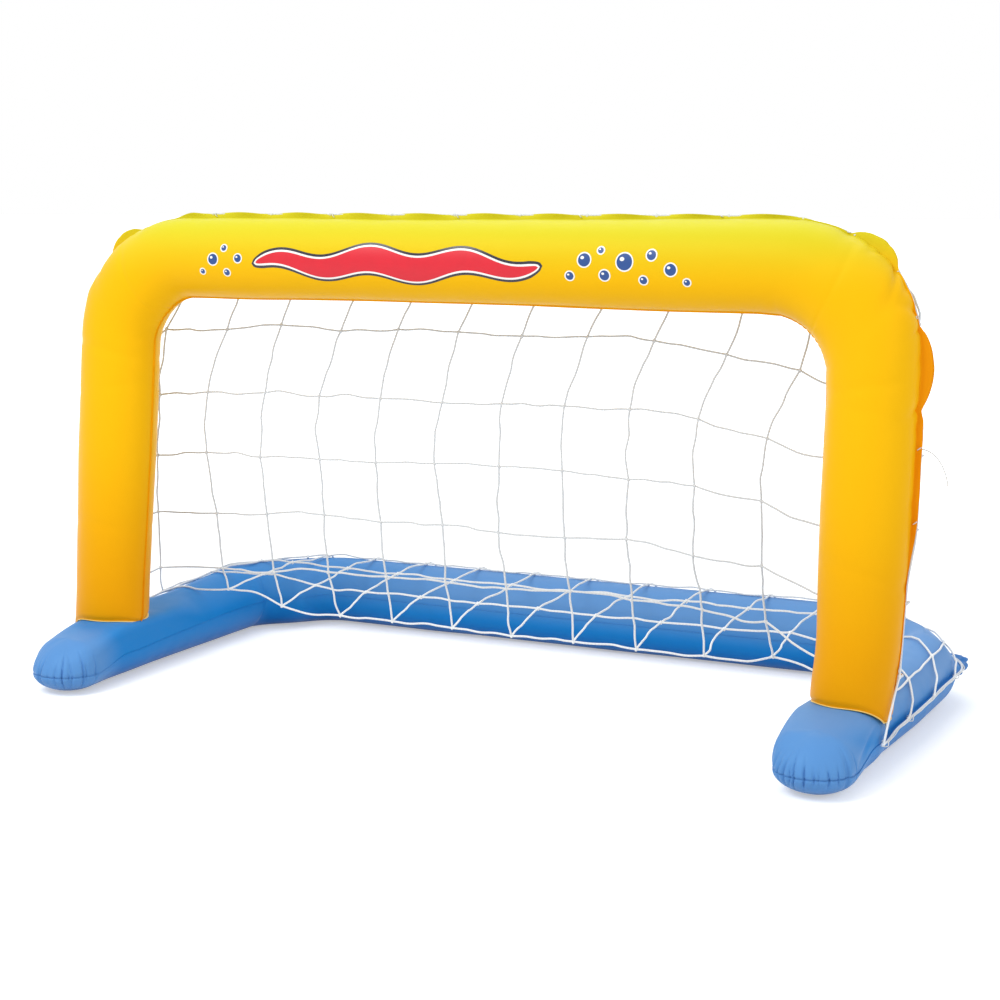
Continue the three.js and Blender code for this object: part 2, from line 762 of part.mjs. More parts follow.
function tailPoints() {
  const start = archSeam(archHoles.at(-1), holeOut, lacingCrossLift + clearance);
  return tailRoute.map(([out, back, up]) => vec(start.x + out, start.y + back, start.z + up));
}

// Valve pieces, along +Z from the sheet's outer face, with the tether's hinge on the -X side
const lathe = (profile) => {
  const ring = profile.map(([radius, height]) => new THREE.Vector2(radius, height));
  return new THREE.LatheGeometry([...ring, ring[0]], roundSides).rotateX(quarterTurn);
};

function valveFlange() {
  const bore = valveStemRadius + clearance;
  const top = clearance + valveFlangeThickness;
  return solidOf(lathe([
    [bore, clearance],
    [valveFlangeRadius, clearance],
    [valveFlangeRadius, top],
    [valveCollarRadius, top],
    [valveCollarRadius, valveCollarHeight],
    [bore, valveCollarHeight],
  ]));
}

function valveStem() {
  const body = solidOf(lathe([
    [valveBoreRadius, -valveStemIn],
    [valveRimRadius, -valveStemIn],
    [valveRimRadius, valveRimThickness - valveStemIn],
    [valveStemRadius, valveRimThickness - valveStemIn],
    [valveStemRadius, valveStemOut],
    [valveBoreRadius, valveStemOut],
  ]));
  const earEnd = tetherReach + tetherThickness / 2;
  const inner = (valveStemRadius + valveBoreRadius) / 2;
  const ear = new THREE.BoxGeometry(earEnd - inner, tetherWidth, earThickness);
  ear.translate(-(earEnd + inner) / 2, 0, valveStemOut - earThickness / 2);
  return body.add(solidOf(ear));
}

function valvePlug() {
  const seat = valveStemOut + clearance;
  const topRadius = valveBoreRadius - clearance;
  const body = solidOf(lathe([
    [0, seat - plugTipLength],
    [topRadius - plugTipTaper, seat - plugTipLength],
    [topRadius, seat],
    [plugCapRadius, seat],
    [plugCapRadius, seat + plugCapThickness],
    [0, seat + plugCapThickness],
  ]));
  const inner = plugCapRadius / 2;
  const strap = new THREE.BoxGeometry(tetherReach - inner, tetherWidth, tetherThickness);
  strap.translate(-(tetherReach + inner) / 2, 0, seat + tetherThickness / 2);
  const knuckle = new THREE.CylinderGeometry(tetherThickness / 2, tetherThickness / 2, tetherWidth, 8);
  knuckle.translate(-tetherReach, 0, seat + tetherThickness / 2);
  return body.add(solidOf(strap)).add(solidOf(knuckle));
}

function valveFlap() {
  const radius = (valveBoreRadius + valveRimRadius) / 2;
  const disc = new THREE.CylinderGeometry(radius, radius, flapThickness, roundSides).rotateX(quarterTurn);
  disc.translate(0, 0, -valveStemIn - clearance - flapThickness / 2);
  return solidOf(disc);
}

const drillForStem = (place) => drill(
  vec(0, 0, -5).applyMatrix4(place),
  vec(0, 0, 5).applyMatrix4(place),
  valveStemRadius + clearance,
  roundSides,
);

// A valve's place: its axis out of the sheet, and the direction away from its hinge.
function valvePlace(origin, axis, away) {
  const across = away.clone().cross(axis).negate().normalize();
  const onward = across.clone().cross(axis).normalize();
  return new THREE.Matrix4().makeBasis(onward, axis.clone().cross(onward), axis).setPosition(origin);
}

const archValvePlace = valvePlace(
  archPoint(legX, archValveRise, tubeHalfDepth),
  vec(0, leanCos, -leanSin),
  vec(0, leanSin, leanCos),
);
const facetLow = halfSection(
  { halfWidth: baseHalfWidth, halfDepth: rearHalfHeight, flatHalf: baseFlatHalf, margin: 0 },
  0,
)[2];
const facetHigh = halfSection(
  { halfWidth: baseHalfWidth, halfDepth: rearHalfHeight, flatHalf: baseFlatHalf, margin: 0 },
  0,
)[3];
const facetRun = vec(0, facetHigh[0] - facetLow[0], facetHigh[1] - facetLow[1]).normalize();
const baseValvePlace = valvePlace(
  vec(
    baseValveX,
    footY + rearReach + (facetLow[0] + facetHigh[0]) / 2,
    rearHalfHeight + (facetLow[1] + facetHigh[1]) / 2,
  ),
  vec(0, facetRun.z, -facetRun.y),
  facetRun,
);

// Materials
const material = (color, roughness) => new THREE.MeshStandardMaterial({ color, roughness, metalness: 0 });
const yellowSheet = material(0xf7c61a, 0.3);
const blueSheet = material(0x2a78c4, 0.3);
const whiteCord = material(0xf2f2ee, 0.8);
const clearPlastic = material(0xe9ecec, 0.35);

const goal = new THREE.Group();
goal.name = "water_polo_goal";

function addPiece(name, solid, surface, parent = goal) {
  const mesh = new THREE.Mesh(geometryOf(solid), surface);
  mesh.name = name;
  parent.add(mesh);
}

// Arch and base
const everyArchHole = [...archHoles, ...legHoles];
addPiece("arch_front_panel", drilled(archPanel(-1), archSeam, everyArchHole), yellowSheet);
addPiece(
  "arch_back_panel",
  drilled(archPanel(1), archSeam, everyArchHole).subtract(drillForStem(archValvePlace)),
  yellowSheet,
);
addPiece("left_leg_end_panel", legEndPanel(-1), yellowSheet);
addPiece("right_leg_end_panel", legEndPanel(1), yellowSheet);
addPiece(
  "base_top_panel",
  drilled(basePanel(1), baseSeam, baseHoles).subtract(drillForStem(baseValvePlace)),
  blueSheet,
);
addPiece("base_bottom_panel", drilled(basePanel(-1), baseSeam, baseHoles), blueSheet);

// Net and lacing
addPiece("net_hanging", netSolid(middleColumns, hangRows), whiteCord);
addPiece("net_floor", netSolid(middleColumns, floorNetRows), whiteCord);
addPiece("net_left_leg_side", netSolid(leftColumns, legRows), whiteCord);
addPiece("net_right_leg_side", netSolid(rightColumns([]), legRows), whiteCord);
addPiece("net_left_arm_side", netSolid(leftColumns, armRows), whiteCord);
addPiece("net_right_arm_side", netSolid(rightColumns([innerBend]), armRows), whiteCord);
addPiece("arch_lacing", tube(lacingRoute(archSeam, archHoles), lacingRadius, cordSides), whiteCord);
addPiece("right_leg_lacing", tube(lacingRoute(archSeam, legHoles), lacingRadius, cordSides), whiteCord);
addPiece("base_lacing", tube(lacingRoute(baseSeam, baseHoles), lacingRadius, cordSides), whiteCord);
addPiece("lacing_tail", tube(tailPoints(), lacingRadius, cordSides + 2), whiteCord);

// Valves
for (const [chamber, place, sheet] of [
  ["arch", archValvePlace, yellowSheet],
  ["base", baseValvePlace, blueSheet],
]) {
  const valve = new THREE.Group();
  valve.applyMatrix4(place);
  goal.add(valve);
  addPiece(`${chamber}_valve_flange`, valveFlange(), sheet, valve);
  addPiece(`${chamber}_valve_stem`, valveStem(), clearPlastic, valve);
  addPiece(`${chamber}_valve_flap`, valveFlap(), clearPlastic, valve);
  addPiece(`${chamber}_valve_plug`, valvePlug(), clearPlastic, valve);
}

export default goal;
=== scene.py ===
"""Inflatable water polo goal: the visual model dressed over its CAD frame, in metres."""
import logging
import math
from collections.abc import Callable, Iterable, Sequence
from dataclasses import dataclass, field
from enum import Enum

import bmesh
import bpy
import numpy as np
from mathutils import Matrix, Vector
from mathutils.geometry import delaunay_2d_cdt


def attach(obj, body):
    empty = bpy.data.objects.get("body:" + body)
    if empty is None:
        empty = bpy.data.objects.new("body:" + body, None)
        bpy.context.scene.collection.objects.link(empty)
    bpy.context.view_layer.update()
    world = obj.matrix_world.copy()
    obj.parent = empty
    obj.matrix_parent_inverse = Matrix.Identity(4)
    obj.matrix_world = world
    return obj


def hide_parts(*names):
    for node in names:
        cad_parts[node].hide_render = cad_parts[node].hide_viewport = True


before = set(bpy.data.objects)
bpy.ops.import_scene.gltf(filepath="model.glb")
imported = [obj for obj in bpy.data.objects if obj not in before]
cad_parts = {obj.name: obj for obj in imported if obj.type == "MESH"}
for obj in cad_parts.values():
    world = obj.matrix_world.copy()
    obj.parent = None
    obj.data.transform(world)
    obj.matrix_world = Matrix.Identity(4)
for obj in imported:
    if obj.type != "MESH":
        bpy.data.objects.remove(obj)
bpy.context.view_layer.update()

log = logging.getLogger("goal")

GOAL = "goal"
QUARTER = math.pi / 2
Array = np.ndarray
Faces = list[list[int]]
Shape = tuple[Array, Faces]
Spot = tuple[int, int]
Sockets = bpy.types.bpy_prop_collection


# ---------------------------------------------------------------- numbers


def mix(a: float, b: float, t: float) -> float:
    """Straight-line blend of two values."""
    return a + (b - a) * t


def smooth(t: Array | float) -> Array | float:
    """Smooth step of a value, held between 0 and 1."""
    t = np.clip(t, 0.0, 1.0)
    return t * t * (3.0 - 2.0 * t)


def ramp(value: float, start: float, width: float) -> float:
    """Smooth step of one value, from 0 at a start to 1 at a width beyond it."""
    return float(smooth((value - start) / width))


def bump(x: Array | float, centre: float, width: float) -> Array | float:
    """A soft bump of height 1."""
    return np.exp(-(((x - centre) / width) ** 2))


def lobe(x: Array | float, low: float, high: float) -> Array | float:
    """A rounded lobe of height 1 between two limits, 0 outside."""
    t = np.clip((x - low) / (high - low), 0.0, 1.0)
    return np.sin(np.pi * t) ** 0.75


def ripple(x: Array, y: Array, seed: int, size: float, octaves: int = 3) -> Array:
    """Smooth pseudo-random relief between about -1 and 1.

    Args:
        x, y: Places, in metres.
        seed: Fixed seed of the waves.
        size: Longest wavelength, in metres.
        octaves: Number of halvings of the wavelength.

    Returns:
        The relief at each place.
    """
    rng = np.random.default_rng(seed)
    total = np.zeros(np.broadcast(x, y).shape)
    for k in range(octaves):
        for _ in range(4):
            turn, phase = rng.uniform(0, 2 * np.pi, 2)
            wave = 2 * np.pi / (size * 0.5**k * rng.uniform(0.75, 1.35))
            total = total + 0.5**k * np.sin(wave * (x * np.cos(turn) + y * np.sin(turn)) + phase) / 3
    return total


# ---------------------------------------------------------------- layout


@dataclass(frozen=True)
class Layout:
    """Sizes and seam lines that the tubes, the net and the lacing share with the CAD model."""

    leg_x: float = 0.638
    foot_y: float = -0.20295
    seam_height: float = 0.049
    lean: float = math.radians(5.8)
    half_width: float = 0.064
    half_depth: float = 0.057
    leg_half_width: float = 0.058
    leg_half_depth: float = 0.057
    taper_start: float = 0.0640
    taper_height: float = 0.24
    corner_radius: float = 0.138
    fullness: float = 0.010
    bar_rise: float = 0.64769
    base_half_width: float = 0.057
    arm_half_height: float = 0.049
    rear_half_height: float = 0.060
    base_corner_radius: float = 0.150
    toe_reach: float = 0.181
    rear_reach: float = 0.528
    ramp_start: float = 0.071
    ramp_end: float = 0.360
    margin: float = 0.009
    arm_slim: float = 0.006
    arm_inside: float = 0.004
    toe_turn_in: tuple[float, float] = (0.004, 0.014)
    foot_turn_in: tuple[float, float] = (0.0, 0.006)
    toe_drop: float = 0.13
    toe_drop_start: float = 0.048
    toe_drop_length: float = 0.076
    bar_swell: float = 0.0036
    bar_draw: float = 0.003
    margin_reach: float = 0.0074
    least_reach: float = 0.0004
    left_leg_fullness: float = 0.0085
    full_leg_start: float = 0.675
    bar_margin_end: float = 0.500
    leg_margin_start: float = 0.862
    leg_margin_end: float = 1.03
    rear_corner_cut: float = 0.019
    rear_corner_power: float = 1.3
    toe_seam_height: float = 0.030
    arm_seam_rise: float = 0.004
    turn_in_start: float = 0.24
    turn_in_length: float = 0.36
    seat_powers: tuple[float, float, float] = (1.5, 0.75, 4.5)
    foot_clearance: float = 0.0008

    @property
    def arc_x(self) -> float:
        """Where the crossbar ends and a corner starts."""
        return self.leg_x - self.corner_radius

    @property
    def arc_rise(self) -> float:
        """Rise at which a corner ends and a leg starts."""
        return self.bar_rise - self.corner_radius

    @property
    def seam_radius(self) -> float:
        """Radius of the arch's outer seam at a corner."""
        return self.corner_radius + self.half_width

    @property
    def corner_arc(self) -> float:
        """Length of the arch's outer seam round a corner."""
        return self.seam_radius * QUARTER

    @property
    def base_arc_x(self) -> float:
        """Where the rear bar ends and a base corner starts."""
        return self.leg_x - self.base_corner_radius

    @property
    def base_arc_y(self) -> float:
        """Reach at which a base corner ends and an arm starts."""
        return self.rear_reach - self.base_corner_radius

    @property
    def base_seam_radius(self) -> float:
        """Radius of the base's outer seam at a corner."""
        return self.base_corner_radius + self.base_half_width

    @property
    def base_corner_arc(self) -> float:
        """Length of the base's outer seam round a corner."""
        return self.base_seam_radius * QUARTER

    def margin_limit(self, length: float) -> float:
        """How far out of the seam a cord may lie on the arch's margin."""
        along = abs(length)
        narrow = ramp(along, self.bar_margin_end, 0.045)
        wide = ramp(along, self.leg_margin_start, 0.03) if length > 0 else 0.0
        wide *= 1.0 - ramp(along, self.leg_margin_end, 0.09)
        bar = self.margin_reach - 0.9 * float(self.bar_lift(length))
        return mix(bar, self.least_reach, narrow * (1.0 - wide))

    def arch_point(self, x: Array | float, rise: Array | float, back: Array | float) -> Array:
        """A point of the arch's leaning plane: x across, rise up the plane, back out of it."""
        sin, cos = math.sin(self.lean), math.cos(self.lean)
        x, rise, back = np.broadcast_arrays(x, rise, back)
        y = self.foot_y + rise * sin + back * cos
        return np.stack([x, y, self.seam_height + rise * cos - back * sin], axis=-1)

    def leg_share(self, rise: float) -> float:
        """How far up its taper a leg is, from 0 to 1."""
        return float(np.clip((rise - self.taper_start) / self.taper_height, 0.0, 1.0))

    def half_width_at(self, rise: float) -> float:
        """Half of the arch's width in its plane at a rise."""
        return mix(self.leg_half_width, self.half_width, self.leg_share(rise))

    def half_depth_at(self, rise: float) -> float:
        """Half of the arch's depth at a rise."""
        return mix(self.leg_half_depth, self.half_depth, self.leg_share(rise))

    def base_half_height(self, reach: float) -> float:
        """Half of the base's height at a reach behind the feet."""
        share = (reach - self.ramp_start) / (self.ramp_end - self.ramp_start)
        height = mix(self.arm_half_height, self.rear_half_height, float(np.clip(share, 0.0, 1.0)))
        return height * (1.0 - self.toe_drop * float(self.toe_share(reach)))

    def toe_share(self, reach: float) -> float:
        """How far towards a toe's tip a reach is, from 0 to 1."""
        return np.clip((-self.toe_drop_start - reach) / self.toe_drop_length, 0.0, 1.0)

    def bar_lift(self, length: Array | float) -> Array | float:
        """How far the crossbar's top stands up towards its right end."""
        return self.bar_swell * smooth((length + 0.02) / 0.42) * (1.0 - smooth((length - self.arc_x) / 0.12))

    def bar_slim(self, length: Array | float) -> Array | float:
        """How much the crossbar's lower side is drawn in, most by its middle."""
        left = 1.0 - 0.7 * smooth((-0.2 - length) / 0.25)
        return -self.bar_draw * (1.0 - smooth((length - 0.05) / 0.3)) * left

    def fullness_at(self, angle: float) -> float:
        """How far the arch's outer side stands out at an angle of a corner."""
        return self.fullness * math.sin(2 * angle) ** 2

    def leg_fullness(self, length: float) -> float:
        """How far the left leg's outer side stands out at a place along the arch."""
        return self.left_leg_fullness * ramp(-length, self.full_leg_start, 0.07)

    def arch_seam(self, length: float, out: float, back: float) -> Array:
        """A point by the arch's outer seam, by its length from the crossbar's middle."""
        if out > 0.001 and abs(back) < 0.006:
            out = max(self.least_reach, min(out, self.margin_limit(length)))
        out += self.leg_fullness(length) * min(1.0, max(0.0, 1.0 + out / self.half_width))
        side, along = (1.0 if length >= 0 else -1.0), abs(length)
        if along <= self.arc_x:
            rise = self.bar_rise + self.half_width + float(self.bar_lift(length)) + out
            return self.arch_point(length, rise, back)
        if along <= self.arc_x + self.corner_arc:
            angle = (along - self.arc_x) / self.seam_radius
            radius = self.seam_radius + out + self.fullness_at(angle) + float(self.bar_lift(length))
            x = self.arc_x + radius * math.sin(angle)
            return self.arch_point(side * x, self.arc_rise + radius * math.cos(angle), back)
        rise = self.arc_rise - (along - self.arc_x - self.corner_arc)
        return self.arch_point(side * (self.leg_x + self.half_width_at(rise) + out), rise, back)

    def base_seam(self, length: float, out: float, up: float) -> Array:
        """A point by the base's outer seam, by its length from the rear bar's middle."""
        side, along = (1.0 if length >= 0 else -1.0), abs(length)
        if along <= self.base_arc_x:
            y = self.foot_y + self.rear_reach + self.base_half_width + out
            return np.array([length, y, self.rear_half_height + up])
        if along <= self.base_arc_x + self.base_corner_arc:
            angle = (along - self.base_arc_x) / self.base_seam_radius
            radius = self.base_seam_radius + out - self.corner_cut(angle)
            slim = float(self.slim_at(self.base_arc_y)) * math.sin(angle) ** 4
            x = side * (self.base_arc_x + radius * math.sin(angle) - slim)
            y = self.foot_y + self.base_arc_y + radius * math.cos(angle)
            return np.array([x, y, self.rear_half_height + up])
        reach = self.base_arc_y - (along - self.base_arc_x - self.base_corner_arc)
        x = side * (self.leg_x + self.base_half_width + out - float(self.slim_at(reach)))
        place = np.array([x, self.foot_y + reach, self.base_seam_height(reach) + up])
        return self.turned_in(place)

    def arm_length(self, reach: float) -> float:
        """The base seam's length to a place so far behind the feet on an arm."""
        return self.base_arc_x + self.base_corner_arc + self.base_arc_y - reach

    def corner_cut(self, angle: float) -> float:
        """How far the base's tube cuts across a rear corner."""
        return self.rear_corner_cut * math.sin(2 * angle) ** 2

    def corner_power(self, length: float) -> float:
        """How full the section of the base's top is along its seam: 2 is an ellipse, less is flatter."""
        angle = (abs(length) - self.base_arc_x) / self.base_seam_radius
        return self.corner_section(angle) if 0.0 < angle < QUARTER else 2.0

    def corner_section(self, angle: float) -> float:
        """The power of the base top's section at an angle of a rear corner."""
        return mix(2.0, self.rear_corner_power, float(lobe(angle, 0.1, 2.1)))

    def slim_at(self, reach: Array | float) -> Array | float:
        """How far an arm's outer seam is drawn in at a reach."""
        return self.arm_slim * smooth((np.asarray(reach) + 0.03) / 0.08)

    def base_seam_height(self, reach: float) -> float:
        """Height of the base's seam, which drops to the floor at the toes."""
        share = ramp(-reach, 0.045, 0.10)
        behind_leg = smooth((reach + 0.02) / 0.10) * (1.0 - smooth((reach - 0.25) / 0.12))
        rise = self.arm_seam_rise * float(behind_leg)
        return mix(self.base_half_height(reach), self.toe_seam_height, share) + rise

    def turned_in(self, place: Array) -> Array:
        """Places of the base with the fronts of both arms turned in a little."""
        place = np.array(place, dtype=float)
        x, reach = place[..., 0], place[..., 1] - self.foot_y
        left, right = self.toe_turn_in
        amount = np.where(x < 0, left, -right) * smooth((self.turn_in_start - reach) / self.turn_in_length)
        place[..., 0] = x + amount * smooth((np.abs(x) - 0.4) / 0.1)
        return place

    def seat_share(self, reach: Array | float) -> Array | float:
        """How much an arm's top is pulled square by the leg that stands on it."""
        return 1.0 - smooth((np.abs(reach) - 0.045) / 0.14)

    def seat_power(self, outward: Array | float, side: int) -> Array | float:
        """How square an arm's section is under its leg: more towards the mouth than outside."""
        left, right, inside = self.seat_powers
        return 2.0 + np.where(np.asarray(outward) > 0, left if side < 0 else right, inside)

    def arm_top(self, outward: Array | float, reach: Array | float, side: int) -> Array | float:
        """Height of an arm's top film beside its middle line, under the leg."""
        power = 2.0 + (self.seat_power(outward, side) - 2.0) * self.seat_share(reach)
        outside, inside = self.base_half_width - self.slim_at(reach), self.base_half_width + self.arm_inside
        half = np.where(np.asarray(outward) > 0, outside, inside)
        share = np.clip(np.abs(outward) / half, 0.0, 0.93)
        return self.arm_half_height * (1.0 + (1.0 - share**power) ** (1.0 / power))


# ---------------------------------------------------------------- mesh and node helpers


def placed(name: str, data: bpy.types.ID) -> bpy.types.Object:
    """An object made of some data and linked to the scene."""
    made = bpy.data.objects.new(name, data)
    bpy.context.scene.collection.objects.link(made)
    return made


def plain_mesh(
    name: str, points: Array, faces: Sequence[Sequence[int]], sharp: float = 50.0
) -> bpy.types.Object:
    """A smooth-shaded mesh object from points and faces.

    Args:
        name: Name of the object.
        points: Points, one row each.
        faces: Corner indices of each face.
        sharp: Edges that bend more than this many degrees stay sharp.

    Returns:
        The object, linked to the scene.
    """
    mesh = bpy.data.meshes.new(name)
    mesh.from_pydata(np.asarray(points, dtype=float).reshape(-1, 3).tolist(), [], [list(f) for f in faces])
    mesh.validate()
    mesh.polygons.foreach_set("use_smooth", [True] * len(mesh.polygons))
    mesh.set_sharp_from_angle(angle=math.radians(sharp))
    return placed(name, mesh)


def grid_faces(rows: int, columns: int, looped: bool = False, flip: bool = False) -> Faces:
    """Quads over a grid of points, whose last row may join its first."""
    faces = []
    for i in range(rows if looped else rows - 1):
        low, high = i * columns, ((i + 1) % rows) * columns
        for j in range(columns - 1):
            quad = [low + j, high + j, high + j + 1, low + j + 1]
            faces.append(quad[::-1] if flip else quad)
    return faces


def merged(points: Array, faces: Sequence[Sequence[int]]) -> tuple[Array, Faces, Array]:
    """Points with doubles merged, the faces that remain, and each point's first index."""
    keys = np.round(points * 1e6).astype(np.int64)
    _, first, index = np.unique(keys, axis=0, return_index=True, return_inverse=True)
    index = index.reshape(-1)
    kept = []
    for face in faces:
        corners = list(dict.fromkeys(int(index[k]) for k in face))
        if len(corners) > 2:
            kept.append(corners)
    return points[first], kept, first


def set_attribute(piece: bpy.types.Object, name: str, values: Array) -> None:
    """Stores one number for each point of a mesh."""
    data = piece.data.attributes.new(name, "FLOAT", "POINT")
    data.data.foreach_set("value", np.asarray(values, dtype=np.float32).reshape(-1))


def solidify(piece: bpy.types.Object, thickness: float) -> None:
    """Gives a sheet its thickness, inwards."""
    modifier = piece.modifiers.new("sheet_thickness", "SOLIDIFY")
    modifier.thickness = thickness
    modifier.offset = -1.0


def dressed(
    piece: bpy.types.Object, material: bpy.types.Material, body: str, nodes: Iterable[str]
) -> bpy.types.Object:
    """Gives a finished piece its material, its body and the CAD nodes that it stands for.

    Args:
        piece: The finished object.
        material: Its material, put in its first slot if it has none.
        body: CAD body that it rides on.
        nodes: CAD nodes that it replaces.

    Returns:
        The piece.
    """
    if not piece.data.materials:
        piece.data.materials.append(material)
    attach(piece, body)
    names = list(nodes)
    if names:
        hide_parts(*names)
    log.info(
        "%s: %d faces, stands for %s", piece.name, len(piece.data.polygons), ", ".join(names) or "nothing"
    )
    return piece


@dataclass
class Tree:
    """A small wrapper that adds and links the nodes of a node tree."""

    tree: bpy.types.NodeTree

    def add(
        self, kind: str, inputs: dict[str | int, object] | None = None, **settings: object
    ) -> bpy.types.Node:
        """Adds a node, sets its properties, and fills or links its inputs.

        Args:
            kind: The node's type name.
            inputs: Values or output sockets by input name or index.
            settings: Properties of the node.

        Returns:
            The node.
        """
        node = self.tree.nodes.new(kind)
        for key, value in settings.items():
            setattr(node, key, value)
        for key, value in (inputs or {}).items():
            if isinstance(value, bpy.types.NodeSocket):
                self.link(value, node.inputs[key])
            else:
                node.inputs[key].default_value = value
        return node

    def link(self, output: bpy.types.NodeSocket, socket: bpy.types.NodeSocket) -> None:
        """Links an output to an input socket."""
        self.tree.links.new(output, socket)

    def math(self, operation: str, a: object, b: object = 0.0, c: object = 0.0) -> bpy.types.NodeSocket:
        """The output of a Math node."""
        return self.add("ShaderNodeMath", {0: a, 1: b, 2: c}, operation=operation).outputs[0]

    def clamped_sum(self, a: object, b: object) -> bpy.types.NodeSocket:
        """The sum of two values, held between 0 and 1."""
        return self.add("ShaderNodeMath", {0: a, 1: b}, operation="ADD", use_clamp=True).outputs[0]

    def scaled(self, vector: object, amount: object) -> bpy.types.NodeSocket:
        """A vector times an amount."""
        return self.add("ShaderNodeVectorMath", {0: vector, "Scale": amount}, operation="SCALE").outputs[0]

    def noise(self, place: object, scale: float, detail: float) -> bpy.types.NodeSocket:
        """Soft noise by place."""
        return self.add("ShaderNodeTexNoise", {"Vector": place, "Scale": scale, "Detail": detail}).outputs[0]

    def smooth_step(self, value: object, *limits: object) -> bpy.types.NodeSocket:
        """A smooth step of a value between two limits, from 0 to 1 unless two more values are given."""
        inputs = {0: value, **{k + 1: limit for k, limit in enumerate(limits)}}
        return self.add("ShaderNodeMapRange", inputs, interpolation_type="SMOOTHSTEP").outputs[0]

    def stored(self, name: str) -> bpy.types.NodeSocket:
        """A value that the mesh stores by name, read by a material."""
        return self.add("ShaderNodeAttribute", attribute_name=name).outputs["Fac"]

    def object_place(self) -> bpy.types.NodeSocket:
        """The place on the object."""
        return self.add("ShaderNodeTexCoord").outputs["Object"]


# ---------------------------------------------------------------- materials


class Finish(Enum):
    """The finishes of the goal."""

    YELLOW = "yellow_pvc"
    WELD = "weld_bead"
    BLUE = "blue_pvc"
    NET = "net_twine"
    LACING = "lacing_twine"
    VALVE = "valve_moulding"
    PRINT_RED = "print_red"
    PRINT_WHITE = "print_white"
    PRINT_DARK = "print_dark"
    PRINT_BLUE = "print_blue"


Finishes = dict[Finish, bpy.types.Material]


def new_group(
    name: str, inputs: Sequence[tuple[str, str, object]], outputs: Sequence[tuple[str, str]]
) -> tuple[bpy.types.NodeTree, Tree, Sockets, Sockets]:
    """A shader node group with named inputs and outputs.

    Args:
        name: Name of the group.
        inputs: Name, socket type and default of each input.
        outputs: Name and socket type of each output.

    Returns:
        The group, its wrapper, the sockets that its inputs give and the sockets that its results take.
    """
    group = bpy.data.node_groups.new(name, "ShaderNodeTree")
    for label, kind, default in inputs:
        socket = group.interface.new_socket(label, in_out="INPUT", socket_type=kind)
        socket.default_value = default
    for label, kind in outputs:
        group.interface.new_socket(label, in_out="OUTPUT", socket_type=kind)
    tree = Tree(group)
    return group, tree, tree.add("NodeGroupInput").outputs, tree.add("NodeGroupOutput").inputs


def film_group() -> bpy.types.NodeTree:
    """Soft vinyl film: painted shade towards the floor and painted light towards the top, by height, with a
    slow random drift; more painted light where the mesh stores it; a deeper tint at the welds, partly painted
    shade; fine sag in its relief.
    """
    group, t, given, result = new_group(
        "vinyl_film",
        [
            ("Foot", "NodeSocketColor", (1, 1, 1, 1)),
            ("Deep", "NodeSocketColor", (1, 1, 1, 1)),
            ("Light", "NodeSocketColor", (1, 1, 1, 1)),
            ("Weld", "NodeSocketColor", (0.8, 0.8, 0.8, 1)),
            ("Middle", "NodeSocketFloat", 0.5),
            ("Low", "NodeSocketFloat", 0.0),
            ("High", "NodeSocketFloat", 1.0),
            ("Drift", "NodeSocketFloat", 0.12),
            ("Gloss", "NodeSocketFloat", 0.3),
        ],
        [("Color", "NodeSocketColor"), ("Roughness", "NodeSocketFloat"), ("Height", "NodeSocketFloat")],
    )
    place = t.object_place()
    height = t.add("ShaderNodeSeparateXYZ", {0: place}).outputs[2]
    cloud = t.noise(place, 6.0, 3.0)
    drift = t.math("MULTIPLY", t.math("SUBTRACT", cloud, 0.5), given["Drift"])

    def share(low: object, high: object) -> bpy.types.NodeSocket:
        """The share of the way between two heights, with the drift added."""
        return t.clamped_sum(t.smooth_step(height, low, high), drift)

    def blend(factor: object, first: object, second: object, kind: str = "MIX") -> bpy.types.NodeSocket:
        """A mix of two colours."""
        node = t.add("ShaderNodeMix", {"Factor": factor}, data_type="RGBA", blend_type=kind)
        for name, value in (("A", first), ("B", second)):
            t.link(value, next(i for i in node.inputs if i.name == name and i.type == "RGBA"))
        return next(o for o in node.outputs if o.type == "RGBA")

    # Painted shade: the film darkens from the Deep colour to the Foot colour towards the floor.
    lower = blend(share(0.0, given["Middle"]), given["Foot"], given["Deep"])
    # pale: painted light that the base's mesh stores.
    pale = t.stored("pale")
    # Painted light: the film turns to the Light colour between the Low and High heights, and more where the
    # stored pale value adds painted light.
    risen = share(given["Low"], given["High"])
    light = t.clamped_sum(risen, t.math("MULTIPLY_ADD", drift, pale, pale))
    whole = blend(light, lower, given["Light"])
    # Welds: the margins take the Weld colour, a deeper tint for the double film that is partly painted shade.
    weld = t.stored("weld")
    colour = blend(weld, whole, given["Weld"], "MULTIPLY")
    smear = t.noise(place, 38.0, 4.0)
    rough = t.math("MULTIPLY_ADD", t.math("SUBTRACT", smear, 0.5), 0.16, given["Gloss"])
    sag = t.noise(place, 14.0, 2.0)
    t.link(colour, result["Color"])
    t.link(rough, result["Roughness"])
    t.link(sag, result["Height"])
    return group


